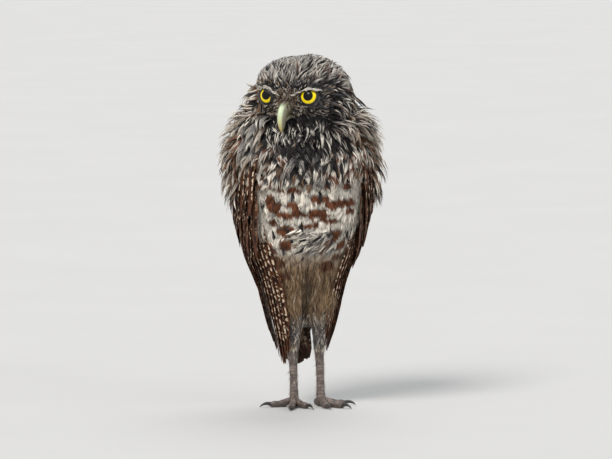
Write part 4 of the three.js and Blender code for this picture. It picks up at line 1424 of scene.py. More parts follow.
TRACTS = (
    Tract("forecrown", on_forecrown, swept_back, 1.6, 9.0, 1.5, 3, (0.1, 0.8, 1.1), (
        Tone(0.52, GREY, SILVER, 0.36), Tone(0.24, GREY, GREY), Tone(0.12, SOOT, CREAM, 0.62),
        Tone(0.10, BLACK, SLATE, 0.5), Tone(0.06, BLACK, SOOT)),
        flare=lambda p: 15 + 32 * smooth(-head_angles(p)[1], 34, 60), droop=0.9, gather=0.92, fray=0.12,
        sway=0.20, bend=0.12, hug=0.4, steps=5),
    Tract("hindcrown", on_hindcrown, swept_back, 2.1, 12.0, 2.2, 4, (0.1, 1.3, 2.0), (
        Tone(0.46, GREY, SILVER, 0.45), Tone(0.20, SOOT, SILVER, 0.45), Tone(0.06, BLACK, RUST, 0.5),
        Tone(0.26, DIM, CREAM, 0.5), Tone(0.12, BLACK, SOOT)),
        flare=lambda p: 20 + 26 * smooth(head_angles(p)[1], 22, 58), droop=0.9, gather=0.96, fray=0.12,
        sway=0.26, hug=0.25, steps=5),
    Tract("face", on_face, swept_back, 1.4, 5.4, 1.3, 3, (0.05, 0.6, 0.8), (
        Tone(0.24, SOOT, GREY), Tone(0.30, BLACK, SOOT), Tone(0.16, BLACK, CREAM, 0.6),
        Tone(0.14, DIM, BUFF, 0.5), Tone(0.10, BLACK, SILVER, 0.6),
        Tone(1.3, FAWN, CREAM, 0.5, where=near_bill), Tone(1.0, BROWN, ROSE, 0.3, where=near_bill),
        Tone(0.9, DIM, CREAM, 0.35, where=on_right), Tone(0.5, DIM, BUFF, 0.35, where=on_right)),
        flare=16, gather=0.92, fray=0.10, sway=0.18, steps=5,
        size=lambda p: 0.55 + 0.75 * smooth(from_bill(p), 16, 60)),
    Tract("cheek", on_cheek, swept_back, 2.3, 13.0, 1.9, 3, (0.2, 2.2, 3.6), (
        Tone(0.18, BLACK, GREY), Tone(0.26, BLACK, CREAM, 0.55), Tone(0.2, SOOT, WHITE, 0.66),
        Tone(0.12, DIM, RUST), Tone(0.24, BLACK, SOOT, 0.5),
        Tone(1.1, BROWN, CREAM, 0.36, where=on_right), Tone(0.6, GREY, WHITE, 0.45, where=on_right)),
        flare=lambda p: 62 - 26 * smooth(p[..., 2], 207, 216), droop=0.75, gather=0.97, fray=0.15,
        hug=0.02, sway=0.28,
        size=lambda p: 0.85 + 0.75 * (1 - smooth(p[..., 2], 193, 208)) + 0.35 * on_right(p) * above(200)(p)),
    Tract("throat_down", on_throat, downward, 2.2, 9.0, 3.0, 4, (0.1, 0.7, 0.9), (
        Tone(0.9, BLACK, BLACK, 0.7), Tone(0.1, BLACK, SOOT, 0.5)), flare=10, gather=0.8, fray=0.3, steps=5),
    Tract("throat", on_throat, downward, 2.8, 12.5, 4.8, 9, (0.4, 2.4, 3.2), (
        Tone(0.45, BLACK, SOOT, 0.7), Tone(1.05, BLACK, WHITE, 0.44, where=above(185)),
        Tone(0.05, BLACK, WHITE, 0.60), Tone(0.20, SOOT, GREY, 0.5, where=below(180)),
        Tone(0.20, BLACK, SILVER, 0.6, where=below(180)), Tone(0.10, BLACK, BROWN, 0.5)),
        flare=lambda p: 42 + 8 * smooth(p[..., 2], 176, 190), droop=1.3, gather=0.70, fray=0.4, fill=0.40,
        hug=0.14, sway=0.36, bend=0.3, plain=0.55, ragged=0.35),
    Tract("chest", on_chest, downward, 3.6, 12.5, 6.6, 11, (0.5, 2.6, 3.2), (
        Tone(0.30, BLACK, SOOT, where=aside_from(0, 22)),
        Tone(0.40, BLACK, SILVER, 0.5, where=aside_from(0, 22)),
        Tone(0.40, SOOT, GREY, 0.4, where=aside_from(0, 22)),
        Tone(0.8, RUST, WHITE, 0.60, where=aside_from(16, 76)),
        Tone(0.7, WHITE, RUST, 0.50, where=aside_from(16, 76)),
        Tone(0.40, BLACK, WHITE, 0.55, where=aside_from(18, 76)),
        Tone(0.20, BROWN, CREAM, 0.55, where=aside_from(18, 76)), Tone(0.30, SOOT, WHITE, 0.5),
        Tone(0.24, BLACK, BROWN, 0.4)), flare=42, droop=1.3, gather=0.74, fray=0.3, fill=0.50, hug=0.14,
        sway=0.30, bend=0.2, plain=0.15),
    Tract("bib", on_bib, downward, 5.0, 17.0, 3.2, 5, (0.8, 4.0, 4.0), (
        Tone(0.65, BLACK, BLACK), Tone(0.2, BLACK, SOOT), Tone(0.15, BLACK, SILVER, 0.72)),
        flare=36, gather=0.96, fray=0.2, hug=0.3, sway=0.14, bend=0.2, ragged=0.3),
    # a black under-layer that shows between the cowl's clumps as painted shade
    Tract("cowl_shade_layer", on_nape, downward, 2.8, 12.0, 3.4, 4, (0.2, 1.4, 1.8), (
        Tone(0.8, BLACK, SOOT, 0.7), Tone(0.2, SOOT, SLATE, 0.5)),
        flare=16, gather=0.8, fray=0.3, hug=0.5, steps=5),
    Tract("cowl", on_nape, downward, 4.2, 18.0, 6.4, 10, (1.2, 5.0, 7.4), (
        Tone(0.65, SLATE, SILVER, 0.5, where=aside_from(46, 64)),
        Tone(0.60, BROWN, FAWN, 0.4, where=aside_from(62, 92)),
        Tone(0.60, FAWN, CREAM, 0.5, where=aside_from(70, 120)), Tone(2.0, RUST, BROWN, 0.5, where=on_russet),
        Tone(0.34, GREY, FAWN, 0.5), Tone(0.44, BROWN, CREAM, 0.5), Tone(0.30, DIM, WHITE, 0.66),
        Tone(0.10, SLATE, GREY, 0.5), Tone(1.0, DIM, BROWN, 0.4, where=aside_from(114, 200))),
        flare=lambda p: 48 + 8 * smooth(p[..., 2], 180, 192), droop=1.0, gather=0.92,
        fray=0.3, fill=0.50, hug=0.04, sway=0.24, bend=0.24, ragged=0.3),
    Tract("cowl_bands", on_bands, downward, 6.5, 25.0, 8.0, 14, (1.4, 6.5, 9.0), (
        Tone(0.7, SLATE, GREY, 0.5), Tone(0.3, SLATE, SILVER, 0.7)),
        flare=50, droop=1.15, gather=0.8, fray=0.12, hug=0.03, sway=0.10, bend=0.10, ragged=0.15, jut=0.02),
    Tract("cowl_points", on_cowl_points, downward, 3.1, 15.0, 4.0, 6, (1.6, 7.0, 10.5), (
        Tone(0.16, BLACK, SOOT), Tone(0.60, BROWN, WHITE, 0.62), Tone(0.44, DIM, CREAM, 0.52),
        Tone(0.26, BROWN, FAWN, 0.4), Tone(0.20, SLATE, WHITE, 0.66), Tone(1.6, RUST, RUST, where=on_russet)),
        flare=lambda p: 48 + 10 * smooth(p[..., 2], 180, 192), droop=0.7, gather=0.94, fray=0.2, fill=0.6,
        hug=0.03, sway=0.42, bend=0.5, ragged=0.4),
    Tract("cowl_crest", on_crest, downward, 3.0, 16.0, 3.4, 5, (1.0, 5.0, 8.0), (
        Tone(0.30, BLACK, SOOT), Tone(0.30, BROWN, WHITE, 0.70), Tone(0.40, DIM, CREAM, 0.60),
        Tone(0.30, BROWN, FAWN, 0.4)),
        flare=60, droop=0.35, gather=0.92, fray=0.2, hug=0.02, sway=0.40, bend=0.3, ragged=0.4),
    Tract("shoulder", on_shoulder, downward, 2.9, 14.0, 4.0, 6, (0.8, 4.5, 8.0), (
        Tone(0.30, BROWN, BROWN, 0.4), Tone(0.08, SLATE, GREY), Tone(0.70, BROWN, WHITE, 0.60),
        Tone(0.40, BROWN, CREAM, 0.50), Tone(0.20, BLACK, SOOT), Tone(1.6, RUST, RUST, where=on_russet),
        Tone(1.0, DIM, BROWN, 0.4, where=aside_from(114, 200))),
        flare=lambda p: 32 + 28 * between(np.abs(body_angle(p)), 66, 112), droop=0.75, gather=0.86,
        fray=0.3, fill=0.5, hug=0.05, sway=0.42, bend=0.5, ragged=0.5,
        size=lambda p: 0.8 + 0.5 * between(np.abs(body_angle(p)), 66, 112)),
    Tract("breast", on_breast, downward, 3.0, 9.5, 6.4, 9, (0.3, 1.2, 1.7), (
        Tone(0.96, GREY, GREY, 0.5, 1.0), Tone(0.04, BLACK, SOOT, 0.5)),
        flare=13, gather=0.60, fray=0.25, fill=0.5, sway=0.2, hug=0.7, jut=0.015, ragged=0.15, steps=5),
    Tract("tousle", on_tousle, aslant, 2.7, 10.0, 3.6, 7, (0.4, 1.5, 2.0), (
        Tone(0.50, GREY, WHITE, 0.2), Tone(0.14, BLACK, BLACK), Tone(0.22, GREY, SILVER, 0.5),
        Tone(0.20, DIM, BROWN, 0.4)), flare=12, gather=0.8, fray=0.35, fill=0.45, plain=0.3, hug=0.8,
        sway=0.24, bend=0.3),
    Tract("belly", on_belly, downward, 2.4, 12.0, 2.8, 5, (0.2, 1.0, 1.4), (
        Tone(0.88, GREY, GREY, 0.5, 1.0), Tone(0.12, BUFF, CREAM, 0.5, 0.7)),
        flare=9, gather=0.9, fray=0.16, sway=0.10),
    Tract("back", on_back, downward, 3.6, 15.0, 5.2, 6, (0.3, 1.6, 2.2), (
        Tone(0.85, DIM, DIM, 0.5, 1.0), Tone(0.15, BLACK, RUST, 0.6, 0.2)),
        flare=12, gather=0.85, fray=0.25, hug=0.7),
    Tract("thigh", on_thigh, downward, 1.9, 9.0, 1.9, 3, (0.1, 0.9, 1.4), (
        Tone(0.26, DIM, SILVER), Tone(0.80, DIM, CREAM, 0.2), Tone(0.40, GREY, FAWN, 0.2),
        Tone(0.06, BLACK, SLATE)),
        flare=14, gather=0.94, fray=0.15, sway=0.24, steps=5),
)
BREAST_SLOT = ("breast", "tousle", "belly", "thigh")


@dataclass
class Coat:
    """All the body feathers."""
    ground: Ground
    finish: Finish
    most: int = 195000

    def make(self) -> list[Piece]:
        """Grows every tract and dresses it, in pieces that stay under the limit of faces."""
        pieces = []
        for seed, tract in enumerate(TRACTS):
            strands = tract.grow(self.ground, 100 + seed)
            faces = (strands.half.shape[1] - 1) * 6 + 2
            parts = math.ceil(len(strands.half) * faces / self.most)
            for part in range(parts):
                name = tract.name if parts == 1 else f"{tract.name}_{part + 1}"
                piece = strands.part(part, parts).mesh(name)
                slot = "breast" if tract.name in BREAST_SLOT else "plumage"
                pieces.append(dress(piece, self.finish, slot))
        return pieces


# Wings and tail

@dataclass
class Vanes:
    """Flight feathers and coverts of one piece, each a thin closed blade with a quill down its middle."""
    lay: Callable[[Array, Array, Array], Array]   # a place on the layer that they lie on
    bodies: list[Pair] = field(default_factory=list)
    values: list[dict[str, Array]] = field(default_factory=list)

    ACROSS = np.array([-1, -0.82, -0.55, -0.28, -0.07, 0, 0.07, 0.28, 0.55, 0.82, 1])

    def add(self, line: Array, half: float, tilt: float, draw: np.random.Generator, thick: float = 0.42,
            ragged: float = 0.10, spots: float = 1.0, point: float = 0.55, barred: float = 0.0,
            rows: int = 24) -> None:
        """Adds one feather.

        Args:
            line: Points of its quill as the layer's own numbers, shape (n, 3).
            half: Half its width in millimetres.
            tilt: How far one edge lies over the other, in millimetres.
            draw: Source of the random numbers.
            thick: Thickness at the quill in millimetres.
            ragged: How torn its edges are.
            spots: How strongly it is spotted.
            point: How long its tapered end is, as a share of its length.
            barred: How far its spots join into bars.
            rows: Rings of points along it.
        """
        u = self.ACROSS
        t = np.linspace(0, 1, rows)
        own = curve_through(line, t)
        eps = 0.4
        centre = self.lay(*own.T)
        out = unit(self.lay(own[:, 0], own[:, 1], own[:, 2] + eps) - centre)
        along = unit(np.gradient(centre, axis=0))
        side = unit(np.cross(along, out))
        normal = np.cross(side, along)
        seed = draw.random() * 50
        round_tip = np.sqrt(np.clip(1 - smooth(t, 1 - point, 1.06) ** 1.5, 0, 1))
        width = half * (0.42 + 0.58 * smooth(t, 0, 0.30)) * round_tip
        width = np.maximum(width, 0.16)
        torn = 1 - ragged * np.abs(np.sin(t[:, None] * (9 + 5 * draw.random()) + seed + 2 * np.sign(u)[None]))
        torn = torn * (1 - 0.5 * ragged * draw.random((rows, 1)))
        edge = np.abs(u)[None] ** 2
        reach = u[None] * width[:, None] * (1 - edge + edge * torn)
        waves = 0.10 * np.sin(reach * 2.6 + t[:, None] * 21 + seed) * np.abs(u)[None]
        share = (width / half)[:, None]
        lift = tilt * u[None] * share - 0.35 * (u[None] ** 2) * share + waves
        quill = 0.16 * np.exp(-(u / 0.10) ** 2)[None] * (1 - 0.7 * t[:, None])
        run = np.concatenate([[0], np.cumsum(np.linalg.norm(np.diff(centre, axis=0), axis=1))])
        slant = np.abs(u)[None] * width[:, None] * 0.35
        top = centre[:, None] + side[:, None] * reach[..., None] + normal[:, None] * (lift + quill)[..., None]
        top = top - along[:, None] * slant[..., None] * 0.3
        depth = thick * (0.35 + 0.65 * (1 - u[None] ** 2)) * (1 - 0.5 * t[:, None])
        under = top - normal[:, None] * depth[..., None]
        rings = np.concatenate([top, under[:, ::-1]], 1)
        points, faces = tube(rings)
        both = np.concatenate([u, u[::-1]])
        across = np.broadcast_to(both[None], rings.shape[:2]).ravel()
        table = {
            "across": np.append(across, (0.0, 0.0)),
            "along": np.append(np.repeat(t, len(both)), (0.0, 1.0)),
            "run": np.append(np.repeat(run, len(both)), (0.0, run[-1])),
            "chance": np.full(len(points), draw.random()),
            "spots": np.full(len(points), spots),
            "barred": np.full(len(points), barred),
        }
        self.bodies.append((points, faces))
        self.values.append(table)

    def mesh(self, name: str) -> Piece:
        """The feathers as one object, with a strip of the sheet of colours for each."""
        points, faces = joined(self.bodies)
        values = {key: np.concatenate([v[key] for v in self.values]) for key in self.values[0]}
        columns = 20
        number = np.concatenate([np.full(len(p), i) for i, (p, _) in enumerate(self.bodies)])
        strips = math.ceil(len(self.bodies) / columns)
        u = (number % columns + 0.5 + 0.42 * values["across"]) / columns
        v = (number // columns + 0.04 + 0.92 * values["along"]) / strips
        return make_object(name, points, faces, values, np.stack([u, v], -1))


@dataclass
class Wing:
    """One folded wing: primaries, secondaries and two tiers of coverts, the smaller feathers above them."""
    side: int
    rise: float
    forward: float
    primary_tips: tuple[float, ...] = (36, 28, 27, 32, 40, 50, 60)
    secondary_tips: tuple[float, ...] = (63, 67, 72, 78, 84, 90, 96)
    primaries: int = 11
    secondaries: int = 9
    coverts: int = 10
    uppers: int = 11
    lesser_rows: int = 7
    lessers: int = 11

    def lay(self, z: Array, angle: Array, lift: Array) -> Array:
        """A place on the wing's layer."""
        return WING.place(z, self.side * (np.asarray(angle) - self.forward), lift)

    def tip(self, tips: Sequence[float], f: float) -> float:
        """The height of the tip of the feather at place f of its row, from 0 to 1."""
        z = float(np.interp(f, np.linspace(0, 1, len(tips)), tips))
        return z + self.rise * float(smooth(100 - z, 0, 60))

    def make(self, finish: Finish) -> Piece:
        """The wing's feathers as one piece."""
        draw = np.random.default_rng(40 + self.side)
        vanes = Vanes(self.lay)
        for i in range(self.primaries):
            f = i / (self.primaries - 1)
            tip, b = self.tip(self.primary_tips, f), 6 * f
            line = np.array([(blend(124, 118, f), blend(54, 106, f), -5.4),
                             (blend(124, tip, 0.33), blend(52, 113, f), -5 + 0.22 * min(b, 5)),
                             (blend(124, tip, 0.68), blend(51, 122, f), -4.2 + 0.42 * min(b, 5)),
                             (tip, blend(58, 130, f), -3.4 + 0.6 * min(b, 5))])
            vanes.add(line, 6.3, 0.7 * self.side, draw, ragged=0.14, point=0.22)
        for i in range(self.secondaries):
            f = i / (self.secondaries - 1)
            tip, b = self.tip(self.secondary_tips, f), 6 * f
            line = np.array([(blend(146, 142, f), blend(78, 150, f), -5.4), (128, blend(86, 157, f), -3.1),
                             (blend(100, 112, f), blend(108, 165, f), -1.4 + 0.06 * b),
                             (tip, blend(130, 171, f), 0.6 + 0.1 * b)])
            vanes.add(line, 4.3, 0.7 * self.side, draw, ragged=0.14, point=0.4)
        for i in range(self.coverts):
            f = i / (self.coverts - 1)
            z = blend(104, 119, f) + draw.uniform(-3, 3)
            line = np.array([(160, blend(56, 151, f), -5.4), (147, blend(56, 157, f), -1.9),
                             (blend(126, 134, f), blend(57, 163, f), -0.7), (z, blend(61, 168, f), 0.3)])
            vanes.add(line, 4.9, 0.6 * self.side, draw, ragged=0.2, point=0.45, spots=0.25 if i < 2 else 1.0)
        for i in range(self.uppers):
            f = i / (self.uppers - 1)
            z = blend(130, 139, f) + draw.uniform(-3, 3)
            line = np.array([(171, blend(56, 149, f), -5.4), (162, blend(56, 154, f), -1),
                             (150, blend(56, 159, f), 0.6), (z, blend(58, 165, f), 1.6)])
            vanes.add(line, 4.6, 0.55 * self.side, draw, ragged=0.25, point=0.5)
        for row in range(self.lesser_rows):
            for i in range(self.lessers):
                f = (i + 0.5 * (row % 2) + draw.uniform(-0.25, 0.25)) / self.lessers
                z = 153 - 7.4 * row + draw.uniform(-2.5, 2.5)
                angle = blend(60 + 1.6 * row, 150, f)
                low = blend(1.6, -1.6, row / (self.lesser_rows - 1))
                line = np.array([(z, angle, low - 1.8), (z - 5, angle + draw.uniform(-1, 2), low - 0.3),
                                 (z - 10, angle + draw.uniform(-1, 4), low + 0.1),
                                 (z - 15, angle + draw.uniform(0, 6), low + 0.2)])
                vanes.add(line, 2.7, 0.4 * self.side, draw, thick=0.3, ragged=0.25, point=0.6, rows=9)
        name = side_name(self.side)
        return dress(vanes.mesh(f"wing_feathers_{name}"), finish, "flight", f"wing_{name}")


@dataclass
class Tail:
    """The short tail, its feathers stacked from the middle pair outwards."""
    feathers: int = 12
    tip: float = 24.0

    def lay(self, z: Array, across: Array, out: Array) -> Array:
        """A place on the tail's layer."""
        z, across, out = np.broadcast_arrays(z, across, out)
        t = (88 - z) / (88 - self.tip)
        return np.stack([sway(z) + across - 1.4, blend(22, 35, t) + out, z], -1)

    def make(self, finish: Finish) -> Piece:
        """The tail's feathers as one piece."""
        draw = np.random.default_rng(61)
        vanes = Vanes(self.lay)
        middle = (self.feathers - 1) / 2
        for i in range(self.feathers):
            place = (i - middle) * 0.82
            away = abs(place)
            layer = 0.6 - 0.92 * (away - 0.5) - (0.46 if place < 0 else 0)
            line = np.array([(88, place * 0.9, layer), (68, blend(place * 0.9, place * 1.6, 0.35), layer),
                             (46, blend(place * 0.9, place * 1.6, 0.7), layer),
                             (self.tip + 0.7 * away + draw.uniform(0, 3), place * 1.6, layer + 0.3)])
            vanes.add(line, 3.8, 0.3, draw, ragged=0.35, spots=0.35, point=0.34, barred=0.7)
        return dress(vanes.mesh("tail_feathers"), finish, "flight", "tail")


# Eyes, lids and bill

@dataclass
class Eye:
    """One eyeball and its lids."""
    side: int
    rings: int = 64
    columns: int = 72

    def lid(self, inner: Array) -> Array:
        """How high the upper lid's edge lies over the iris, as shares of its radius, lower by the bill."""
        high, slope = (0.63, 0.10) if self.side > 0 else (0.36, 0.50)
        return high - slope * inner

    def pinch(self) -> float:
        """How much of the inner corner the feathers of the bridge close."""
        return 0.0 if self.side > 0 else 0.34

    def settle(self, p: Array) -> Array:
        """Points of the eye's own frame, where it looks along -Y, in the body's frame."""
        e = math.radians(-EYE_LIFT)
        x, y, z = np.moveaxis(p, -1, 0)
        tilted = np.stack([x, y * math.cos(e) - z * math.sin(e), y * math.sin(e) + z * math.cos(e)], -1)
        return HEAD.to_body(spun(tilted, self.side * EYE_SPLAY) + eye_centre(self.side))

    def ball(self, finish: Finish) -> Piece:
        """The eyeball, with the bulge of its front."""
        b = np.linspace(0.02, np.pi - 0.02, self.rings)[:, None]
        a = np.arange(self.columns)[None] * 2 * np.pi / self.columns
        out = np.sin(b) * EYE_RADIUS
        bulge = np.where(b < 1.2, 0.75 * np.clip(1 - (out / 6.0) ** 2, 0, 1), 0.0)
        b, a, out, bulge = np.broadcast_arrays(b, a, out, bulge)
        rings = np.stack([out * np.cos(a), -(np.cos(b) * EYE_RADIUS + bulge), out * np.sin(a)], -1)
        points, faces = tube(rings)
        away = np.append(np.where(b < np.pi / 2, out, 2 * EYE_RADIUS - out).ravel(), (0.0, 2 * EYE_RADIUS))
        values = {"out": away}
        name = side_name(self.side)
        piece = make_object(f"eyeball_{name}", self.settle(points), faces, values)
        return dress(piece, finish, "eye", f"eye_{name}")

    def opening(self, a: Array) -> Array:
        """The lids' edge at each angle round the eye, as points in the plane of the opening."""
        inner = -self.side * np.cos(a)
        wide = 1 - self.pinch() * np.clip(inner, 0, 1)
        high = np.where(np.sin(a) > 0, np.minimum(np.sin(a), self.lid(inner * wide)), np.sin(a))
        return IRIS_OPENING * np.stack([np.cos(a) * wide, high], -1)

    def lids(self, finish: Finish) -> Piece:
        """The lids: a soft dark rim, heavier above, that rests on the eyeball."""
        steps, sides = 96, 14
        a = np.arange(steps) * 2 * np.pi / steps
        edge = self.opening(a)
        b = np.arange(sides) * 2 * np.pi / sides
        outwards = unit(edge)
        thick = np.maximum(0.62 + 0.28 * np.clip(np.sin(a), 0, 1), (6.5 - np.linalg.norm(edge, axis=1)) / 2)
        deep = 0.62 + 0.35 * np.clip(np.sin(a), 0, 1)
        middle = edge + outwards * (thick * 0.92)[:, None]
        ring = middle[:, None] + outwards[:, None] * (thick[:, None] * np.cos(b)[None])[..., None]
        away = np.linalg.norm(ring, axis=-1)
        front = np.sqrt(np.maximum(EYE_RADIUS ** 2 - away ** 2, 4.0))
        front = front + 0.75 * np.clip(1 - (away / 6.0) ** 2, 0, 1)
        y = -(front + 0.1 + deep[:, None] * np.sin(b)[None])
        rings = np.stack([ring[..., 0], y, ring[..., 1]], -1)
        faces = grid_faces(steps + 1, sides, True) % (steps * sides)
        points = rings.reshape(-1, 3)
        faces = outward_ring(points, faces)
        values = {"relief": np.tile(0.5 + 0.5 * np.sin(b * 3), steps)}
        name = side_name(self.side)
        return dress(make_object(f"lids_{name}", self.settle(points), faces, values), finish, "leg")


def outward_ring(points: Array, faces: Array) -> Array:
    """The quads of a ring-shaped body, turned over if it is inside out."""
    a, b, c, d = (points[faces[:, n]] for n in range(4))
    volume = np.einsum("ij,ij->i", a, np.cross(b, c)).sum() + np.einsum("ij,ij->i", a, np.cross(c, d)).sum()
    return faces if volume > 0 else faces[:, ::-1]


@dataclass
class Brow:
    """The pale stripe over one eye, its fine feathers laid from the bridge outwards above the upper lid."""
    side: int
    strands: int = 620
    width: float = 1.7

    def arc(self) -> Array:
        """Points of the stripe about the eye, from the bridge outwards."""
        if self.side > 0:
            return np.array([(-11.0, 0.0), (-7.0, 2.6), (-2.6, 3.9), (1.8, 4.1), (6.2, 3.2)])
        return np.array([(-9.6, 0.2), (-5.6, 2.8), (-1.4, 4.6), (3.0, 4.9), (7.0, 3.6)])

    def make(self, ground: Ground, finish: Finish) -> Piece:
        """The stripe, laid over the skin."""
        draw = np.random.default_rng(80 + self.side)
        n, k = self.strands, 6
        start = draw.random(n) ** 0.9 * 0.80
        span = draw.uniform(0.16, 0.30, n)
        t = start[:, None] + span[:, None] * np.linspace(0, 1, k)
        line = curve_through(self.arc(), t.ravel()).reshape(n, k, 2)
        outer = unit(line + np.array([1.0, -2.0]))
        offset = draw.normal(0, 0.45, n)[:, None] * self.width
        drift = draw.normal(0, 0.5, n)[:, None] * np.linspace(0, 1, k)
        line = line + outer * (offset + drift + 0.4)[..., None]
        away = np.linalg.norm(line, axis=-1)
        front = np.sqrt(np.maximum(EYE_RADIUS ** 2 - np.minimum(away, 7.4) ** 2, 0))
        front = front - 0.42 * np.maximum(away - 7.4, 0)
        rise = 1.5 + draw.random((n, 1)) * 0.9 - 0.5 * np.linspace(0, 1, k)[None]
        places = np.stack([self.side * line[..., 0], -(front + rise), line[..., 1]], -1)
        eye = Eye(self.side)
        paths = eye.settle(places)
        spot, normals = ground.nearest(paths)
        height = ((paths - spot) * normals).sum(-1, keepdims=True)
        paths = paths + normals * np.maximum(rise[..., None] + 0.9 - height, 0)
        normals = np.broadcast_to(HEAD.turned(unit(np.array([self.side * 0.4, -1.0, 0.25]))), paths.shape)
        half = 0.21 * (0.7 + 0.6 * draw.random((n, 1))) * np.interp(np.linspace(0, 1, k), (0, 0.2, 0.7, 1),
                                                                    (0.6, 1, 0.8, 0.15))[None]
        fade = 1 - smooth(start, 0.30, 0.80)
        pale = np.clip(draw.normal(0.62, 0.2, n) + 0.40 * fade, 0, 1) * (np.abs(offset[:, 0]) < 1.4)
        zero = np.zeros(n)
        values = {"buff": zero + 0.15, "rust": zero, "pale": pale, "dark": 0.8 * (pale < 0.2),
                  "chance": draw.random(n)}
        strands = Strands(paths, normals, half, half * 0.7, sheet_place(paths[:, 0]), values)
        name = side_name(self.side)
        return dress(strands.mesh(f"brow_{name}"), finish, "plumage")


@dataclass
class Bill:
    """The hooked upper bill with its nostrils, over a short lower half."""
    ridge: tuple = ((0, -22, -2.8), (0, -30.0, -3.6), (0, -35.2, -7.4), (0, -36.7, -13.2), (0, -35.7, -18.8),
                    (0, -34.2, -22.4))
    lower: tuple = ((0, -21, -12.5), (0, -27, -13.6), (0, -30.0, -16.4))
    upper_radii: tuple = ((0, 3.5, 5.0), (0.3, 3.4, 4.8), (0.5, 3.2, 4.4), (0.7, 2.5, 3.4), (0.88, 1.4, 1.9),
                          (1, 0.40, 0.5))
    lower_radii: tuple = ((0, 3.2, 1.8), (0.5, 2.6, 1.5), (1, 0.8, 0.5))

    def upper_half(self, finish: Finish) -> Piece:
        """The upper bill."""
        ridge = np.array(self.ridge, float)
        i = np.arange(len(ridge))
        line = ridge + np.stack([0 * i, np.where(i < 2, 2.4, 3.1 - 0.5 * i), -4 + 0.75 * i], -1)
        sides, steps = 48, 60
        rings = swept(line, self.upper_radii, sides, steps)
        a = np.arange(sides) * 2 * np.pi / sides
        t = np.linspace(0, 1, steps + 1)
        centre = rings.mean(1, keepdims=True)
        keel = np.where(np.sin(a) < 0, 1 - 0.16 * np.abs(np.cos(a)) * np.abs(np.sin(a)), 1.0)
        rings = centre + (rings - centre) * keel[None, :, None]
        cere = 0.06 * (1 - smooth(t, 0.27, 0.36))
        rings = centre + (rings - centre) * (1 + cere)[:, None, None]
        for side in (1, -1):
            hole = np.array([side * 3.0, -31.0, -6.6])
            away = np.linalg.norm((rings - hole) * np.array([1, 1, 0.85]), axis=-1)
            rings = rings + (centre - rings) * (0.30 * np.exp(-(away / 1.05) ** 2))[..., None]
            rings = rings + unit(rings - centre) * (0.28 * np.exp(-((away - 1.9) / 0.6) ** 2))[..., None]
        points, faces = tube(rings)
        depth = np.linalg.norm(rings.reshape(-1, 3) - np.array([3.0, -31.0, -6.6]), axis=1)
        other = np.linalg.norm(rings.reshape(-1, 3) - np.array([-3.0, -31.0, -6.6]), axis=1)
        values = {
            # aside: 0 on the ridge, 1 on the sides and underside, which get greyer horn and painted shade
            "aside": np.append(np.tile(np.where(np.sin(a) < 0.2, np.abs(np.cos(a)), 1.0), steps + 1),
                               (1, 0.4)),
            "along": np.append(np.repeat(t, sides), (0, 1)),
            # hole: where the nostrils' openings get their painted shade
            "hole": np.append(np.exp(-(np.minimum(depth, other) / 0.95) ** 2), (0, 0)),
        }
        piece = make_object("bill_upper_horn", HEAD.to_body(points), faces, values)
        return dress(piece, finish, "bill", "bill_upper")

    def lower_half(self, finish: Finish) -> Piece:
        """The lower bill."""
        sides, steps = 32, 24
        rings = swept(np.array(self.lower, float), self.lower_radii, sides, steps)
        points, faces = tube(rings)
        count = len(points)
        along = np.append(np.repeat(np.linspace(0.3, 1, steps + 1), sides), (0.3, 1))
        values = {"aside": np.full(count, 1.0), "along": along, "hole": np.zeros(count)}
        piece = make_object("bill_lower_horn", HEAD.to_body(points), faces, values)
        return dress(piece, finish, "bill", "bill_lower")


# Bristles

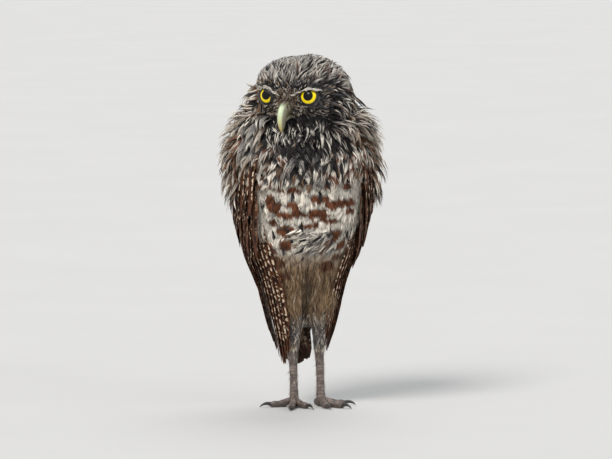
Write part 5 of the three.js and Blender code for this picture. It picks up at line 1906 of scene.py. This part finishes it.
@dataclass
class Bristles:
    """Fine stiff feather shafts that a node tree sets over a small bed of skin."""
    name: str
    density: float           # bristles to the square millimetre
    length: float
    radius: float
    seed: int
    spread: float = 0.30     # how far each one strays from the lie
    curve: float = 0.22      # how far its tip bends over, as a share of its length

    def tree(self, material: Finish) -> bpy.types.NodeTree:
        """The node tree that scatters, bends and merges the bristles.

        Args:
            material: Their finish.

        Returns:
            The tree, whose inputs are the bed, the density, the length, the radius and the seed.
        """
        tree = bpy.data.node_groups.new(f"{self.name}_growth", "GeometryNodeTree")
        tree.interface.new_socket("Bed", in_out="INPUT", socket_type="NodeSocketGeometry")
        for label in ("Density", "Length", "Radius", "Spread", "Curve"):
            tree.interface.new_socket(label, in_out="INPUT", socket_type="NodeSocketFloat")
        tree.interface.new_socket("Seed", in_out="INPUT", socket_type="NodeSocketInt")
        tree.interface.new_socket("Bristles", in_out="OUTPUT", socket_type="NodeSocketGeometry")

        def add(kind: str, settings: Optional[dict] = None, values: Optional[dict] = None) -> bpy.types.Node:
            """One node with its settings, then its numbers and links."""
            node = tree.nodes.new(kind)
            for key, setting in (settings or {}).items():
                setattr(node, key, setting)
            for key, value in (values or {}).items():
                if isinstance(value, Socket):
                    tree.links.new(value, node.inputs[key])
                else:
                    node.inputs[key].default_value = value
            return node

        def maths(operation: str, first: object, second: object) -> Socket:
            """One Math node's result."""
            return add("ShaderNodeMath", {"operation": operation}, {0: first, 1: second}).outputs[0]

        start = add("NodeGroupInput").outputs
        shaft = add("GeometryNodeMeshCone", {}, {"Vertices": 5, "Side Segments": 6, "Radius Top": 0.00002,
                                                 "Radius Bottom": start["Radius"], "Depth": start["Length"]})
        place = add("GeometryNodeInputPosition").outputs[0]
        height = add("ShaderNodeSeparateXYZ", {}, {0: place}).outputs["Z"]
        run = maths("DIVIDE", height, start["Length"])
        bow = maths("MULTIPLY", maths("MULTIPLY", run, run), start["Curve"])
        bow = maths("MULTIPLY", bow, start["Length"])
        offset = add("ShaderNodeCombineXYZ", {}, {0: bow}).outputs[0]
        bent = add("GeometryNodeSetPosition", {}, {"Geometry": shaft.outputs["Mesh"], "Offset": offset})
        marked = add("GeometryNodeStoreNamedAttribute", {"data_type": "FLOAT", "domain": "POINT"},
                     {"Geometry": bent.outputs[0], "Name": "along", "Value": run})
        points = add("GeometryNodeDistributePointsOnFaces", {"distribute_method": "RANDOM"},
                     {"Mesh": start["Bed"], "Density": start["Density"], "Seed": start["Seed"]})
        lie = add("GeometryNodeInputNamedAttribute", {"data_type": "FLOAT_VECTOR"},
                  {"Name": "lie"}).outputs[0]
        stray = add("FunctionNodeRandomValue", {"data_type": "FLOAT_VECTOR"},
                    {"Min": (-1.0, -1.0, -1.0), "Max": (1.0, 1.0, 1.0), "Seed": start["Seed"]}).outputs[0]
        stray = add("ShaderNodeVectorMath", {"operation": "SCALE"},
                    {0: stray, "Scale": start["Spread"]}).outputs[0]
        aim = add("ShaderNodeVectorMath", {"operation": "ADD"}, {0: lie, 1: stray}).outputs[0]
        turn = add("FunctionNodeAlignRotationToVector", {"axis": "Z"}, {"Vector": aim}).outputs[0]
        size = add("FunctionNodeRandomValue", {"data_type": "FLOAT"},
                   {"Min": 0.6, "Max": 1.15, "Seed": 3}).outputs[1]
        rooted = add("GeometryNodeStoreNamedAttribute", {"data_type": "FLOAT_VECTOR", "domain": "POINT"},
                     {"Geometry": points.outputs["Points"], "Name": "root", "Value": place})
        drawn = add("FunctionNodeRandomValue", {"data_type": "FLOAT"},
                    {"Min": 0.0, "Max": 1.0, "Seed": 5}).outputs[1]
        owned = add("GeometryNodeStoreNamedAttribute", {"data_type": "FLOAT", "domain": "POINT"},
                    {"Geometry": rooted.outputs[0], "Name": "chance", "Value": drawn})
        placed = add("GeometryNodeInstanceOnPoints", {},
                     {"Points": owned.outputs[0], "Instance": marked.outputs[0],
                      "Rotation": turn, "Scale": size})
        merged = add("GeometryNodeRealizeInstances", {}, {"Geometry": placed.outputs[0]})
        finished = add("GeometryNodeSetMaterial", {}, {"Geometry": merged.outputs[0], "Material": material})
        add("NodeGroupOutput", {}, {"Bristles": finished.outputs[0]})
        return tree

    def make(self, bed: Pair, lie: Array, tones: Sequence[tuple[float, float, float, float]],
             material: Finish) -> Piece:
        """Grows the bristles as one piece.

        Args:
            bed: Points and four-cornered faces that they stand on, in the body's frame.
            lie: Their direction at each point of the bed.
            tones: Shares of buff, rust, pale and dark, one of which each bristle takes.
            material: Their finish.

        Returns:
            The piece.
        """
        rough = make_object(f"{self.name}_bed", *bed)
        keep(rough.data, "lie", lie, "FLOAT_VECTOR")
        growth = rough.modifiers.new("growth", "NODES")
        growth.node_group = self.tree(material)
        values = {"Density": self.density / MM ** 2, "Length": self.length * MM, "Radius": self.radius * MM,
                  "Spread": self.spread, "Curve": self.curve, "Seed": self.seed}
        for item in growth.node_group.interface.items_tree:
            if item.name in values:
                growth[item.identifier] = values[item.name]
        piece = settled(rough, self.name)
        mesh = piece.data
        chance, along = (fetched(mesh.attributes[key].data, "value") for key in ("chance", "along"))
        root = fetched(mesh.attributes["root"].data, "vector", 3)
        pick = np.minimum((chance * REDRAW % 1.0 * len(tones)).astype(int), len(tones) - 1)
        for i, key in enumerate(SHARES):
            keep(mesh, key, np.array(tones)[pick, i])
        uv = sheet_place(root.astype(float) / MM - SHIFT)
        uv[:, 1] += Strands.PATCH * (along - 0.5)
        lay_sheet(mesh, np.clip(uv, *SHEET), fetched(mesh.loops, "vertex_index", 1, np.int32))
        return dress(piece, material, "plumage")


def bill_bristles(material: Finish) -> None:
    """The brown bristles that lie over the root of the bill and along its sides."""
    up, around = np.meshgrid(np.linspace(-11, 14, 16), np.linspace(-15, 15, 19), indexing="ij")
    d = HEAD.direction(up, around)
    points = HEAD.to_body(d * (HEAD.reach(d) - 1.2)[..., None]).reshape(-1, 3)
    aside = np.sin(np.radians(around)) * 2.4
    lie = np.stack([aside * 0.75, -0.85 + 0 * up, -0.55 - 0.022 * (up + 11)], -1)
    lie = HEAD.turned(unit(lie)).reshape(-1, 3)
    faces = grid_faces(16, 19, False)
    tones = ((0.9, 0.45, 0.0, 0.0), (0.8, 0.0, 0.45, 0.0), (0.6, 0.5, 0.0, 0.45), (0, 0, 0, 0.85))
    bristles = Bristles("bill_bristles", density=1.7, length=5.2, radius=0.17, seed=11, spread=0.36)
    bristles.make((points, faces), lie, tones, material)


# Legs

class Toe(Enum):
    """The four toes, each with its direction on the left and the right foot and its length."""
    INNER = (8.0, 27.0, 15.0)
    MIDDLE = (42.0, -14.0, 19.0)
    OUTER = (92.0, -84.0, 16.0)
    HIND = (188.0, 172.0, 10.0)

    def ahead(self, side: int) -> Array:
        """The direction that the toe points in."""
        turn = math.radians(self.value[0] if side > 0 else self.value[1])
        return np.array([math.sin(turn), -math.cos(turn), 0.0])

    @property
    def length(self) -> float:
        """The toe's length without its claw."""
        return self.value[2]


@dataclass
class Foot:
    """A leg below its feathers: scaly shank, ball, toes and claws."""
    side: int
    toe_radius: float = 2.3
    claw_length: float = 7.5
    gap: float = 0.45

    def __post_init__(self) -> None:
        """Works out where the leg stands and what its side is called."""
        self.leg = Leg(self.side)
        self.label = side_name(self.side)

    def shank(self, finish: Finish) -> Piece:
        """The shank, ringed with scutes in front above the foot."""
        line, radii = self.leg.shank()
        sides, steps = 36, 150
        rings = swept(line, radii, sides, steps)
        centre = rings.mean(1, keepdims=True)
        ahead = np.clip(-(rings - centre)[..., 1] / 2.8, -1, 1)
        z = rings[..., 2]
        phase = (z / 2.15 + 0.35 * np.abs((rings - centre)[..., 0]) / 2.8) % 1.0
        plate = smooth(phase, 0.0, 0.22) * (1 - 0.45 * smooth(phase, 0.6, 1.0))
        front = smooth(ahead, -0.1, 0.35) * (1 - smooth(z, 26, 33))
        rough = noise(rings, 1.3, 5.0)
        relief = front * plate + (1 - front) * rough * 0.6
        rings = rings + unit(rings - centre) * (0.26 * relief - 0.12)[..., None]
        points, faces = tube(rings)
        values = {"relief": np.append(relief.ravel(), (0, 0))}
        piece = make_object(f"shank_skin_{self.label}", points, faces, values)
        return dress(piece, finish, "leg", f"shank_{self.label}")

    def toe(self, toe: Toe) -> tuple[Array, Array, Array]:
        """One toe's points, faces and relief."""
        ahead = toe.ahead(self.side)
        across = np.array([-ahead[1], ahead[0], 0])
        heights = (4.0, 3.7, 2.3, 1.85, 1.8)
        root = np.array([self.leg.x, 0.5, 0.0])
        line = np.array([root + ahead * toe.length * i / 4 + np.array([0, 0, h])
                         for i, h in enumerate(heights)])
        r = self.toe_radius
        radii = np.array([(0, r + 0.5, r + 0.6), (0.3, r - 0.2, r), (0.5, r + 0.1, r + 0.25),
                          (0.68, r - 0.35, r - 0.15), (0.85, r, r + 0.1), (1, r - 0.75, r - 0.5)])
        sides, steps = 24, 60
        rings = swept(line, radii, sides, steps, across)
        centre = rings.mean(1, keepdims=True)
        above = np.clip((rings - centre)[..., 2] / r, -1, 1)
        run = np.linspace(0, toe.length, steps + 1)[:, None]
        phase = (run / 1.7) % 1.0
        plate = smooth(phase, 0.0, 0.25) * (1 - 0.4 * smooth(phase, 0.6, 1.0))
        top = smooth(above, 0.1, 0.5)
        relief = top * plate + (1 - top) * noise(rings, 0.9, 8.0) * 0.6
        rings = rings + unit(rings - centre) * (0.22 * relief - 0.10)[..., None]
        rings[..., 2] = np.maximum(rings[..., 2], 0.02)
        points, faces = tube(rings)
        return points, faces, np.append(relief.ravel(), (0.3, 0.3))

    def hairs(self, finish: Finish) -> Piece:
        """The few bristly feathers down the shank."""
        line, radii = self.leg.shank()
        rings = swept(line, radii - np.array([0, 0.3, 0.3]), 16, 30)
        kept = rings[6:29]
        out = unit(kept - kept.mean(1, keepdims=True))
        lie = unit(out * 0.55 + np.array([0, 0, -1.0])).reshape(-1, 3)
        bed = (kept.reshape(-1, 3), grid_faces(len(kept), 16, True))
        tones = ((0.6, 0.0, 0.35, 0.0), (0.5, 0.0, 0.0, 0.3), (0.2, 0.0, 0.6, 0.0))
        bristles = Bristles(f"leg_bristles_{self.label}", density=0.55, length=3.4, radius=0.10,
                            seed=20 + self.side, spread=0.25)
        return bristles.make(bed, lie, tones, finish)

    def foot(self, finish: Finish) -> Piece:
        """The ball of the foot and its toes."""
        b = np.linspace(0.05, np.pi - 0.05, 20)[:, None]
        a = np.arange(32)[None] * 2 * np.pi / 32
        ball = (np.sin(b) * np.cos(a), np.sin(b) * np.sin(a), np.cos(b))
        ball = np.stack(np.broadcast_arrays(*ball), -1) * 3.9
        ball = ball + np.array([self.leg.x, 0.5, 3.5])
        ball[..., 2] = np.maximum(ball[..., 2], 0.02)
        points, faces = tube(ball)
        bodies = [(points, faces)]
        reliefs = [noise(points, 0.9, 9.0) * 0.7]
        for toe in Toe:
            points, faces, relief = self.toe(toe)
            bodies.append((points, faces))
            reliefs.append(relief)
        points, faces = joined(bodies)
        piece = make_object(f"foot_skin_{self.label}", points, faces, {"relief": np.concatenate(reliefs)})
        return dress(piece, finish, "leg", f"foot_{self.label}")

    def claw(self, toe: Toe, finish: Finish) -> Piece:
        """One claw, a curved point that comes down to the floor."""
        ahead = toe.ahead(self.side)
        across = np.array([-ahead[1], ahead[0], 0])
        reach = self.claw_length * (0.85 if toe is Toe.HIND else 1.0)
        root = np.array([self.leg.x, 0.5, 0.0]) + ahead * (toe.length + self.gap - 0.9)
        path = ((0.0, 1.9), (0.35, 2.65), (0.7, 2.15), (1.0, 0.45))
        line = np.array([root + ahead * f * (reach + 0.7) + np.array([0, 0, h]) for f, h in path])
        sides, steps = 20, 28
        rings = swept(line, np.array([(0, 1.25, 1.45), (0.5, 0.82, 1.0), (0.85, 0.4, 0.5), (1, 0.14, 0.16)]),
                      sides, steps, across)
        points, faces = tube(rings)
        count = len(points)
        along = np.append(np.repeat(np.linspace(0, 1, steps + 1), sides), (0, 1))
        values = {"aside": np.full(count, 0.3), "along": along, "hole": np.zeros(count)}
        name = toe.name.lower()
        piece = make_object(f"claw_horn_{self.label}_{name}", points, faces, values)
        return dress(piece, finish, "claw", f"claw_{self.label}_{name}")

    def make(self, skin: Finish, horn: Finish, wet: Finish) -> None:
        """Everything below the leg's feathers."""
        self.shank(skin)
        self.hairs(wet)
        self.foot(skin)
        for toe in Toe:
            self.claw(toe, horn)


# Studio

@dataclass
class Studio:
    """The floor, the soft lights and the camera."""
    azimuth: float = VIEW_TURN
    elevation: float = VIEW_LIFT
    distance: float = 3000.0
    lens: float = 264.7
    look: tuple[float, float, float] = (2.67, 0.0, 119.0)
    floor_half: float = 30000.0

    def floor(self) -> None:
        """A plain pale floor that runs out of sight on every side."""
        half = self.floor_half
        corners = ((-half, -half), (half, -half), (half, half), (-half, half))
        points = np.array([(x, y, 0.0) for x, y in corners])
        floor = make_object("floor", points - SHIFT, np.array([[0, 1, 2, 3]]))
        floor.data.materials.append(PaleFloor().material("pale_floor"))

    def aimed(self, name: str, data: bpy.types.ID, azimuth: float, elevation: float) -> tuple[Piece, Vector]:
        """An object that faces the owl from one side, and the direction from the owl towards it."""
        a, e = math.radians(azimuth), math.radians(elevation)
        back = Vector((math.sin(a) * math.cos(e), -math.cos(a) * math.cos(e), math.sin(e)))
        owner = bpy.data.objects.new(name, data)
        owner.location = back
        owner.rotation_mode = "QUATERNION"
        owner.rotation_quaternion = (-back).to_track_quat("-Z", "Y")
        bpy.context.scene.collection.objects.link(owner)
        return owner, back

    def light(self, name: str, azimuth: float, elevation: float, soft: float, power: float,
              tint: Color = (1.0, 1.0, 1.0)) -> None:
        """One soft light from far away."""
        lamp = bpy.data.lights.new(name, "SUN")
        lamp.angle, lamp.energy, lamp.color = math.radians(soft), power, tint
        self.aimed(name, lamp, azimuth, elevation)

    def camera(self) -> None:
        """The camera, at the photograph's viewing angle."""
        a = math.radians(self.azimuth)
        right = Vector((math.cos(a), math.sin(a), 0))
        target = (Vector((0, 0, self.look[2])) + right * self.look[0]) * MM
        data = bpy.data.cameras.new("camera")
        data.sensor_width, data.lens = 36.0, self.lens
        data.clip_start, data.clip_end = 0.05, 50.0
        camera, back = self.aimed("camera", data, self.azimuth, self.elevation)
        camera.location = target + back * self.distance * MM
        bpy.context.scene.camera = camera

    def make(self) -> None:
        """Sets everything up."""
        self.floor()
        self.light("key", -40, 48, 22, 2.6, (1.0, 0.985, 0.96))
        self.light("fill", 55, 24, 50, 0.7, (0.94, 0.97, 1.0))
        self.light("top", 160, 60, 40, 1.1)
        world = bpy.data.worlds.new("room")
        world.use_nodes = True
        background = world.node_tree.nodes["Background"]
        background.inputs[0].default_value = (0.80, 0.84, 0.90, 1.0)
        background.inputs[1].default_value = 0.62
        bpy.context.scene.world = world
        bpy.context.scene.view_settings.view_transform = "Standard"
        self.camera()
        LOG.info("studio set")


def main() -> None:
    """Builds the owl and its studio."""
    logging.basicConfig(level=logging.INFO, format="%(name)s %(message)s")
    skin, ground = Skin().make()
    dress(skin, Plumage().material("skin_plumage", 0.25), "plumage", "head", "neck", "torso", "thigh_left",
          "thigh_right")
    wet = Plumage().material("wet_plumage", 0.06)
    Coat(ground, wet).make()
    flight = FlightFeather().material("flight_feathers")
    for side, rise, forward in ((1, 9.0, 0.0), (-1, 0.0, 4.0)):
        Wing(side, rise, forward).make(flight)
    brown = FlightFeather(tip=(0.045, 0.024, 0.016), edge=(0.15, 0.09, 0.05))
    Tail().make(brown.material("tail_feathers_brown"))
    iris = EyeBall().material("eyeball")
    scaly = BareSkin().material("scaly_skin")
    rim = BareSkin((0.016, 0.013, 0.012), (0.008, 0.007, 0.006), (0.04, 0.033, 0.03)).material("lid_skin")
    for side in (1, -1):
        eye = Eye(side)
        eye.ball(iris)
        eye.lids(rim)
        Brow(side).make(ground, wet)
    bill = Bill()
    # the side colour is partly the bill's greyer horn, partly painted shade on its sides and underside
    horn = Horn(ridge=(0.56, 0.63, 0.40), side=(0.17, 0.155, 0.095), deep=(0.055, 0.038, 0.024),
                worn=(0.60, 0.47, 0.16)).material("bill_horn")
    bill.upper_half(horn)
    bill.lower_half(horn)
    bill_bristles(wet)
    dark_horn = Horn(ridge=(0.022, 0.017, 0.014), side=(0.012, 0.010, 0.009), deep=(0.03, 0.024, 0.02),
                     worn=(0.022, 0.017, 0.014), gloss=0.25).material("claw_horn")
    for side in (1, -1):
        Foot(side).make(scaly, dark_horn, wet)
    Studio().make()


if __name__ == "__main__":
    main()
